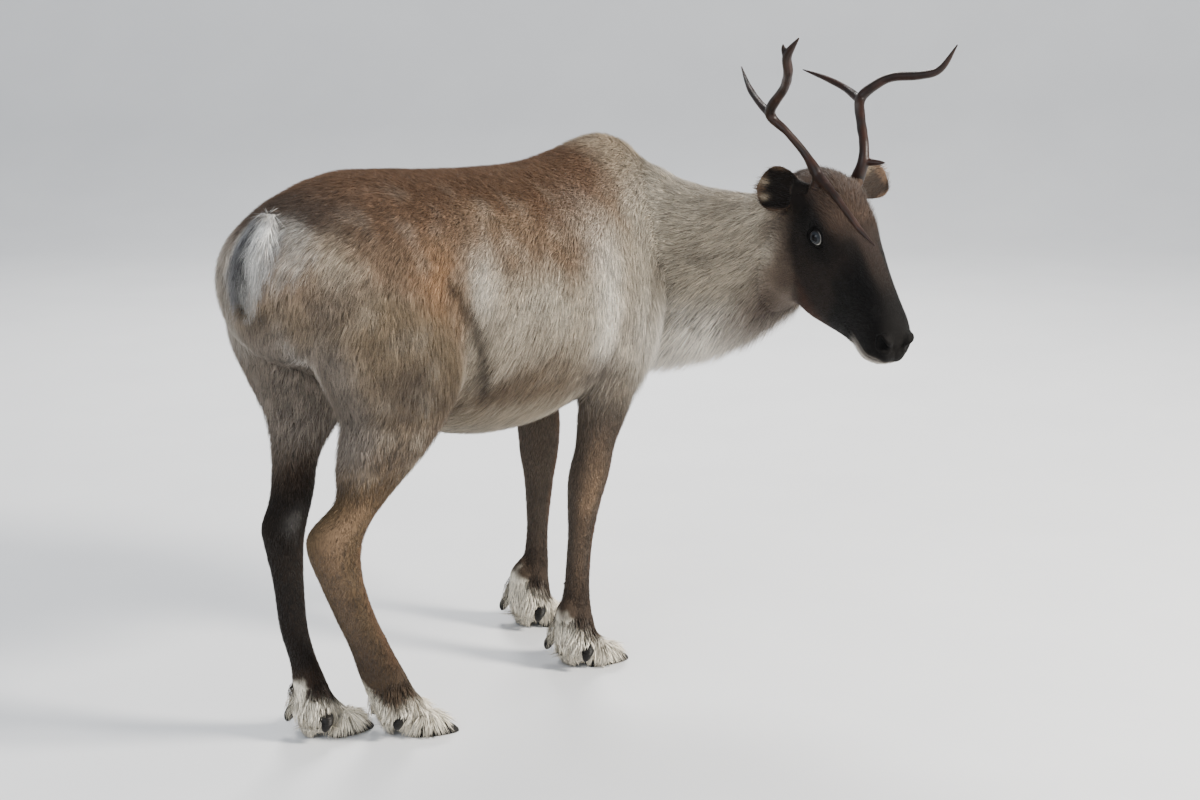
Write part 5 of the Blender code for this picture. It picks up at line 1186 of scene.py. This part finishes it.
def unwrap(points, ears):
    """A place from 0 to 1 for each point on an unrolling of the body's own parts: the angle round each part and the
    way along it, each part in its own strip."""
    head, neck, legs, tail = parts_of(points)
    x, y, z = points.T
    level = np.interp(x, TORSO[:, 0], TORSO[:, 4])
    turn = np.arctan2(y, z - level) / (2 * np.pi) + 0.5
    u, v = 0.02 + 0.96 * turn, 0.01 + 0.40 * np.clip((x + 0.62) / 1.15, 0, 1)
    share, aside, over = neck_place(points)
    turn = np.arctan2(aside, over) / (2 * np.pi) + 0.5
    here = neck > 0.5
    u, v = np.where(here, 0.02 + 0.46 * turn, u), np.where(here, 0.43 + 0.20 * share, v)
    place = to_head(points)
    turn = np.arctan2(place[:, 1], place[:, 2] + 0.08) / (2 * np.pi) + 0.5
    here = head > 0.5
    u = np.where(here, 0.52 + 0.46 * turn, u)
    v = np.where(here, 0.43 + 0.20 * np.clip((place[:, 0] + 0.06) / 0.43, 0, 1), v)
    for index, (name, share_of) in enumerate(legs.items()):
        _, ahead, aside = leg_place(name, points)
        turn = np.arctan2(aside, ahead) / (2 * np.pi) + 0.5
        here = share_of > 0.5
        u = np.where(here, 0.01 + 0.245 * index + 0.225 * turn, u)
        v = np.where(here, 0.65 + 0.24 * np.clip(z / 0.70, 0, 1), v)
    for mark, name in ((1, "left"), (2, "right")):
        along_ear, across, out = ear_place(name, points)
        here = ears == mark
        turn = np.arctan2(across, out) / (2 * np.pi) + 0.5
        u = np.where(here, 0.02 + 0.25 * (mark - 1) + 0.22 * turn, u)
        v = np.where(here, 0.90 + 0.09 * np.clip(along_ear, 0, 1), v)
    here = ears == 3
    u = np.where(here, 0.55 + 0.4 * np.clip((y + 0.1) / 0.2, 0, 1), u)
    v = np.where(here, 0.90 + 0.09 * np.clip((z - 0.74) / 0.22, 0, 1), v)
    return np.column_stack([u, v])


def node(tree, kind, settings=None, **links):
    """Adds a node with its settings and input values, and links its inputs."""
    made = tree.nodes.new(kind)
    for key, value in (settings or {}).items():
        if isinstance(key, str) and hasattr(made, key):
            setattr(made, key, value)
        else:
            made.inputs[key].default_value = value
    for key, source in links.items():
        tree.links.new(source, made.inputs[key.replace("_", " ")] if key.replace("_", " ") in made.inputs else made.inputs[int(key[1:])])
    return made


def finish_of(name, roughness, settings=None):
    """A material whose Principled shader has its constant values set."""
    made = bpy.data.materials.new(name)
    made.use_nodes = True
    shader = made.node_tree.nodes["Principled BSDF"]
    shader.inputs["Roughness"].default_value = roughness
    for key, value in (settings or {}).items():
        shader.inputs[key].default_value = value
    return made, made.node_tree, shader


def coat_finish():
    """Winter coat: hollow, dry guard hair with a soft broad sheen. Its colour is stored with each tuft."""
    made, tree, shader = finish_of("winter coat hair", 0.62, {"Specular IOR Level": 0.15, "Sheen Weight": 0.04, "Sheen Roughness": 0.5})
    colour = node(tree, "ShaderNodeVertexColor", {"layer_name": "coat_colour"})
    tree.links.new(colour.outputs["Color"], shader.inputs["Base Color"])
    return made


def hide_finish():
    """Short-haired hide: the same markings, with fine hair shown as streaks in the colour and as bump."""
    made, tree, shader = finish_of("short-haired hide", 0.80, {"Specular IOR Level": 0.12})
    colour = node(tree, "ShaderNodeVertexColor", {"layer_name": "coat_colour"})
    strand = node(tree, "ShaderNodeAttribute", {"attribute_name": "strand"})
    streak = node(tree, "ShaderNodeTexNoise", {"Scale": 420.0, "Detail": 3.0, "Roughness": 0.6}, Vector=strand.outputs["Vector"])
    shade = node(tree, "ShaderNodeMapRange", {"From Min": 0.3, "From Max": 0.7, "To Min": 0.62, "To Max": 1.25}, Value=streak.outputs["Fac"])
    tone = node(tree, "ShaderNodeVectorMath", {"operation": "SCALE"})
    tree.links.new(colour.outputs["Color"], tone.inputs[0])
    tree.links.new(shade.outputs["Result"], tone.inputs["Scale"])
    tree.links.new(tone.outputs["Vector"], shader.inputs["Base Color"])
    bump = node(tree, "ShaderNodeBump", {"Strength": 0.30, "Distance": 0.0010}, Height=streak.outputs["Fac"])
    tree.links.new(bump.outputs["Normal"], shader.inputs["Normal"])
    return made


def antler_finish():
    """Bare polished antler: dark red-brown bone stained by bark, smooth at the tips, with fine grooves along it."""
    made, tree, shader = finish_of("polished antler", 0.46, {"Specular IOR Level": 0.28})
    place = node(tree, "ShaderNodeTexCoord")
    stain = node(tree, "ShaderNodeTexNoise", {"Scale": 28.0, "Detail": 4.0, "Roughness": 0.6}, Vector=place.outputs["Object"])
    ramp = node(tree, "ShaderNodeValToRGB", Fac=stain.outputs["Fac"])
    ramp.color_ramp.elements[0].position = 0.30
    ramp.color_ramp.elements[0].color = (*linear("#0f0805"), 1)
    ramp.color_ramp.elements[1].position = 0.72
    ramp.color_ramp.elements[1].color = (*linear("#2c160c"), 1)
    tree.links.new(ramp.outputs["Color"], shader.inputs["Base Color"])
    groove = node(tree, "ShaderNodeTexNoise", {"Scale": 160.0, "Detail": 2.0}, Vector=place.outputs["Object"])
    bump = node(tree, "ShaderNodeBump", {"Strength": 0.20, "Distance": 0.0012}, Height=groove.outputs["Fac"])
    tree.links.new(bump.outputs["Normal"], shader.inputs["Normal"])
    return made


def horn_finish():
    """Hoof horn: black keratin with growth rings parallel to the coronet and a dull scuffed sheen."""
    made, tree, shader = finish_of("black hoof horn", 0.50, {"Specular IOR Level": 0.20})
    place = node(tree, "ShaderNodeTexCoord")
    ring = node(tree, "ShaderNodeTexWave", {"wave_type": "BANDS", "bands_direction": "Z", "Scale": 95.0, "Distortion": 2.5, "Detail": 2.0}, Vector=place.outputs["Object"])
    ramp = node(tree, "ShaderNodeValToRGB", Fac=ring.outputs["Fac"])
    ramp.color_ramp.elements[0].color = (*linear("#0a0908"), 1)
    ramp.color_ramp.elements[1].color = (*linear("#1b1815"), 1)
    tree.links.new(ramp.outputs["Color"], shader.inputs["Base Color"])
    bump = node(tree, "ShaderNodeBump", {"Strength": 0.25, "Distance": 0.0008}, Height=ring.outputs["Fac"])
    tree.links.new(bump.outputs["Normal"], shader.inputs["Normal"])
    return made


def eye_finish():
    """Wet eye: a clear cornea over a dark brown iris with a level oval pupil, and a pale crescent on the upper rim
    that is a painted reflection.
    """
    made, tree, shader = finish_of("wet dark eye", 0.06, {"IOR": 1.376, "Specular IOR Level": 0.24})
    colour = node(tree, "ShaderNodeVertexColor", {"layer_name": "coat_colour"})
    tree.links.new(colour.outputs["Color"], shader.inputs["Base Color"])
    return made


def make_eye(name, sign):
    """A ball with the cornea swelling out of its front: radius·(1 + 0.06·bulge), painted by the angle from its axis."""
    centre = in_head(EYE * (1, sign, 1))
    v = np.linspace(0.0005, np.pi - 0.01, 72)[:, None]
    u = 2 * np.pi * np.arange(72)[None, :] / 72
    shape = np.stack([np.sin(v) * np.cos(u), np.sin(v) * np.sin(u), np.cos(v) + 0 * u], axis=-1)
    bulge = np.exp(-(v / 0.62) ** 4)
    radius = (EYE_RADIUS - 0.0006) * (1 + 0.06 * bulge)
    points, faces = closed_grid(centre + (shape * radius[..., None]) @ eye_axes(sign))
    made = add_mesh(name, points, faces)
    place = eye_place(points, sign) / EYE_RADIUS
    away = np.hypot(place[:, 0], place[:, 1])
    pupil = np.hypot(place[:, 0] / 0.40, place[:, 1] / 0.26)
    rim = np.hypot((place[:, 0] + 0.05) / 0.78, (place[:, 1] + 0.05) / 0.68)
    colour = np.tile(linear("#1b1816"), (len(points), 1))
    colour = mix(colour, "#25292e", 0.8 * step(away, 0.70, 0.50))
    colour = mix(colour, "#060608", step(pupil, 1.15, 0.9))
    # Painted reflection: a pale crescent along the upper front of the iris's rim.
    upper = step(dot(place[:, :2], np.array([0.64, 0.77])) / np.maximum(away, 1e-6), -0.10, 0.55)
    colour = mix(colour, "#8d8a84", upper * np.exp(-((rim - 1.0) / 0.060) ** 2))
    colour = mix(colour, "#14100d", step(rim, 1.16, 1.30))
    paint(made, "coat_colour", np.where(place[:, 2:] > -0.1, colour, linear("#8a6f63")))
    return made


def crosswise(path):
    """Of nine headings, the one that a path comes least near to, so that a tube's side axis never flips along it."""
    axes = unit([(1, 0, 0), (0, 1, 0), (0, 0, 1), (1, 1, 0), (1, -1, 0), (1, 0, 1), (1, 0, -1), (0, 1, 1), (0, 1, -1)])
    return axes[np.abs(along(path) @ axes.T).max(axis=0).argmin()]


def antler_runs(place):
    """The unbroken runs of an antler: the beam goes on smoothly into its main branch, and on the right side the
    brow tine goes on from the beam too. The rest are branches whose roots lie inside a run."""
    routes = dict(ANTLERS[place])
    beam = routes.pop("beam")
    runs = [beam[:-1] + [(*beam[-1][:3], routes["main"][0][3])] + routes.pop("main")[1:]]
    if "top_tine" in routes:
        runs.append([(*row[:3], 0.94 * row[3]) for row in beam[3:0:-1]] + routes.pop("brow_tine")[1:])
    return runs + list(routes.values())


def make_antler(name, place):
    """Round sections carried along each run, joined where they meet by a fine remesh and smoothed."""
    forms = []
    for route in antler_runs(place):
        rows = through(route, 8)
        path = in_head(rows[:, :3])
        radius = HEAD_SIZE * rows[:, 3] * (1 + 0.035 * waves(path, 0.030, 31))
        forms.append(tube(path, radius, 20, facing=crosswise(path)))
    made = add_mesh(name, *joined(forms))
    remesh = made.modifiers.new("Fork", "REMESH")
    remesh.mode = "VOXEL"
    remesh.voxel_size = 0.0014
    smooth = made.modifiers.new("Smooth", "SMOOTH")
    smooth.factor = 0.5
    smooth.iterations = 14
    apply_modifiers(made)
    made.data.polygons.foreach_set("use_smooth", np.ones(len(made.data.polygons), bool))
    return made


def make_hooves(name, foot):
    """The two main claws and two dewclaws of a foot: half-round wedges with a flat sole, and short bent cones."""
    forms = []
    for sign in (1, -1):
        forward, left = heading_frame(FEET[foot][2] + sign * CLAW_SPLAY)
        start = foot_place(foot, CLAW_BACK, sign * CLAW_SIDE, 0.0)
        share, width, height = through(CLAW_SECTIONS, 5).T
        turn = np.pi * np.arange(20) / 19
        across = CLAW_HALF_WIDTH * width[:, None] * np.cos(turn)
        up = CLAW_HEIGHT * height[:, None] * np.sin(turn) ** 0.8
        grid = start + (share * CLAW_LENGTH)[:, None, None] * forward + across[..., None] * left
        forms.append(closed_grid(grid + up[..., None] * np.array([0.0, 0.0, 1.0])))
        side = DEWCLAW_SIDE * FEET[foot][3]
        bend = [foot_place(foot, DEWCLAW_BACK + 0.012, sign * (side - 0.014), DEWCLAW_Z + 0.012),
                foot_place(foot, DEWCLAW_BACK, sign * side, DEWCLAW_Z),
                foot_place(foot, DEWCLAW_BACK - 0.009, sign * (side + 0.003), DEWCLAW_Z - 0.017)]
        path = through(bend, 8)
        taper = np.interp(np.linspace(0, 1, len(path)), (0, 0.4, 0.7, 0.85, 0.95, 1), (0.9, 1.02, 0.9, 0.7, 0.42, 0.08))
        forms.append(tube(path, DEWCLAW_RADIUS * taper, 18, 0.75))
    return add_mesh(name, *joined(forms))


def make_coat(skin, marks):
    """All the tufts, in pieces by the part of the body, each piece under the limit for one mesh."""
    points, faces, normals = mesh_arrays(skin)
    ears = marks
    colour = markings(points, normals, ears)
    # The skin is painted at 0.84 of the tips' colour: painted shade down among the hair.
    paint(skin, "coat_colour", colour * 0.84)
    x, y, z = points.T
    strand = points * 1.0
    head, neck, legs, tail = parts_of(points)
    lie = lie_of_coat(points, normals, ears)
    place = to_head(points) * HEAD_SIZE
    strand = np.where(head[:, None] > 0.5, place * (0.12, 1, 1), strand * (0.15, 1, 1))
    low = sum(legs.values()) > 0.5
    strand = np.where(low[:, None], points * (1, 1, 0.12), strand)
    layer = skin.data.attributes.new("strand", "FLOAT_VECTOR", "POINT")
    layer.data.foreach_set("vector", strand.astype(np.float32).ravel())
    length, width, rise, close = coat_sizes(points, normals, ears)
    find = surface_finder(points, faces)
    where = unwrap(points, ears)
    leg = np.maximum.reduce(list(legs.values()))
    region = np.zeros(len(points), int)
    region[(x > -0.17)] = 1
    region[neck > 0.5] = 2
    region[(leg > 0.5)] = 3
    region[(leg > 0.5) & (z < 0.30)] = 4
    region[(leg > 0.5) & (z < 0.105)] = 5
    region[(head > 0.5) | (ears == 1) | (ears == 2)] = 6
    region[(ears == 3) | (tail > 0.6)] = 7
    face_region = np.median(region[faces], axis=1).astype(int)
    plans = (
        ("coat_hindquarters_left", 0, 1, 46500, 1), ("coat_hindquarters_right", 0, -1, 46500, 1),
        ("coat_barrel_left", 1, 1, 46500, 1), ("coat_barrel_right", 1, -1, 46500, 1),
        ("coat_neck", 2, 0, 46000, 1), ("coat_upper_legs", 3, 0, 32000, 1), ("coat_lower_legs", 4, 0, 23000, 1),
        ("coat_feet", 5, 0, 12500, 2), ("coat_head", 6, 0, 47500, 1), ("coat_tail", 7, 0, 9500, 1),
    )
    made = []
    middle_y = y[faces].mean(axis=1)
    for index, (name, kind, half, count, spans) in enumerate(plans):
        random = np.random.default_rng(SEED + index)
        here = face_region == kind
        if half:
            here &= middle_y * half > 0
        chosen = faces[here]
        face, share = scatter(points, chosen, close, count, random)
        corner = chosen[face]

        def at(values):
            return (values[corner] * (share if values.ndim == 1 else share[..., None])).sum(axis=1)

        roots, facing, way = at(points), unit(at(normals)), at(lie)
        shaggy = step(roots[:, 0], -0.18, -0.36) * step(roots[:, 2], 0.93, 0.82) * (kind in (0, 3))
        turn = random.normal(0, 0.10, (count, 3))
        clump = np.column_stack([waves(roots, 0.013, seed) for seed in (31, 32, 33)])
        turn += (0.14 + 0.12 * shaggy)[:, None] * clump
        way = unit(way + turn - facing * dot(way + turn, facing)[:, None])
        patchy = waves(roots, 0.05, 21)
        long = at(length) * random.uniform(0.75, 1.20, count)
        wide = at(width) * random.uniform(0.75, 1.25, count)
        high = at(rise) * random.uniform(0.58, 1.08, count) * (1 + 0.10 * patchy + 0.16 * shaggy * clump[:, 0])
        spread, light = (0.34, 1.34) if kind < 4 else (0.30, 1.05)
        tone = light * (1 + spread * random.normal(size=count) + (0.12 + 0.14 * shaggy) * waves(roots, 0.016, 22)
                        + (0.07 + 0.06 * shaggy) * patchy)
        tip = at(colour) * np.clip(tone, 0.40, 2.2)[:, None]
        # Roots are painted at 0.74 of the tip colour: painted shade down among the hair.
        base = tip * 0.74
        droop = None
        if name in ("coat_neck", "coat_tail"):
            droop = np.array([0.0, 0.0, -0.10])
        made.append(tufts(name, roots, facing, way, long, wide, high, base, tip, at(where), find, spans, 0.75, droop))
    return made


def add_stage():
    """A plain pale floor that curves up into a backdrop, as one swept profile."""
    reach = 9.0
    turn = np.linspace(0, np.pi / 2, 24)
    profile = np.vstack([[(-reach, 0.0)], np.column_stack([5.0 + 2.5 * np.sin(turn), 2.5 - 2.5 * np.cos(turn)]), [(7.5, 6.0)]])
    away = np.array([math.sin(CAMERA_TURN), math.cos(CAMERA_TURN)])
    across = np.array([away[1], -away[0]])
    sides = np.array([-reach, reach])
    flat = profile[:, None, :1] * away + sides[None, :, None] * across
    grid = np.concatenate([flat, np.broadcast_to(profile[:, None, 1:], (*flat.shape[:2], 1))], axis=-1)
    a = np.arange(len(profile) - 1) * 2
    faces = np.column_stack([a, a + 1, a + 3, a + 2])
    floor = add_mesh("floor", grid.reshape(-1, 3) - SHIFT * (1, 1, 0), faces)
    if floor.data.polygons[0].normal.z < 0:
        floor.data.flip_normals()
    made, tree, shader = finish_of("matt studio floor", 0.9, {"Specular IOR Level": 0.2})
    place = node(tree, "ShaderNodeTexCoord")
    grain = node(tree, "ShaderNodeTexNoise", {"Scale": 3.0, "Detail": 3.0}, Vector=place.outputs["Object"])
    ramp = node(tree, "ShaderNodeValToRGB", Fac=grain.outputs["Fac"])
    ramp.color_ramp.elements[0].color = (*linear("#d8d9db"), 1)
    ramp.color_ramp.elements[1].color = (*linear("#e2e3e4"), 1)
    tree.links.new(ramp.outputs["Color"], shader.inputs["Base Color"])
    floor.data.materials.append(made)


def add_light(name, place, target, size, power, colour):
    light = bpy.data.lights.new(name, "AREA")
    light.shape = "DISK"
    light.size = size
    light.energy = power
    light.color = colour
    lamp = bpy.data.objects.new(name, light)
    back = unit(np.array(place, float) - np.array(target, float))
    side = unit(np.cross((0, 0, 1), back))
    lamp.matrix_world = Matrix([[side[k], np.cross(back, side)[k], back[k], place[k]] for k in range(3)] + [[0, 0, 0, 1]])
    bpy.context.scene.collection.objects.link(lamp)


def add_camera():
    """A 72 mm lens at the photograph's place: right, up and back axes from the turn and the dip."""
    turn, dip = CAMERA_TURN, CAMERA_DIP
    right = np.array([math.cos(turn), -math.sin(turn), 0])
    view = np.array([math.sin(turn) * math.cos(dip), math.cos(turn) * math.cos(dip), -math.sin(dip)])
    up = np.cross(right, view)
    camera = bpy.data.cameras.new("camera")
    camera.lens = CAMERA_LENS
    camera.sensor_width = 36.0
    camera.clip_end = 60.0
    held = bpy.data.objects.new("camera", camera)
    place = CAMERA_AT + SHIFT
    held.matrix_world = Matrix([[right[k], up[k], -view[k], place[k]] for k in range(3)] + [[0, 0, 0, 1]])
    bpy.context.scene.collection.objects.link(held)
    bpy.context.scene.camera = held


def add_studio():
    world = bpy.data.worlds.new("studio")
    world.use_nodes = True
    world.node_tree.nodes["Background"].inputs["Color"].default_value = (*linear("#dfe6f0"), 1)
    world.node_tree.nodes["Background"].inputs["Strength"].default_value = 0.75
    bpy.context.scene.world = world
    add_light("key", (1.6, -4.4, 3.1), (0, 0, 0.6), 1.3, 720, (1.0, 0.95, 0.87))
    add_light("fill", (-4.2, -0.5, 2.4), (0, 0, 0.6), 3.0, 120, (0.90, 0.95, 1.0))
    add_light("rim", (3.0, 2.6, 3.6), (0, 0, 0.7), 1.6, 260, (1.0, 0.98, 0.95))


def main():
    skin, marks = make_skin()
    coat = make_coat(skin, marks)
    hide = hide_finish()
    skin.data.materials.append(hide)
    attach(skin, "root")
    flesh = [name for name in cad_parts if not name.startswith(("eye_", "antler_")) and "claw" not in name]
    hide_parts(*flesh)
    hair = coat_finish()
    for piece in coat:
        piece.data.materials.append(hair)
        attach(piece, "root")
    antler, horn, wet = antler_finish(), horn_finish(), eye_finish()
    for place, sign in (("left", 1), ("right", -1)):
        eye = make_eye("eyeball_" + place, sign)
        branch = make_antler("antlers_" + place, place)
        for piece, look, slot, nodes in (
            (eye, wet, "eye", ["eye_" + place]),
            (branch, antler, "antler", [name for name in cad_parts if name.startswith("antler_" + place)]),
        ):
            piece.data.materials.append(look)
            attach(piece, "root")
            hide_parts(*nodes)
    for foot in FEET:
        hooves = make_hooves("hooves_" + foot, foot)
        hooves.data.materials.append(horn)
        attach(hooves, "root")
        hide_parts(*[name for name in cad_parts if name.startswith(foot) and "claw" in name])
    add_stage()
    add_studio()
    add_camera()


main()
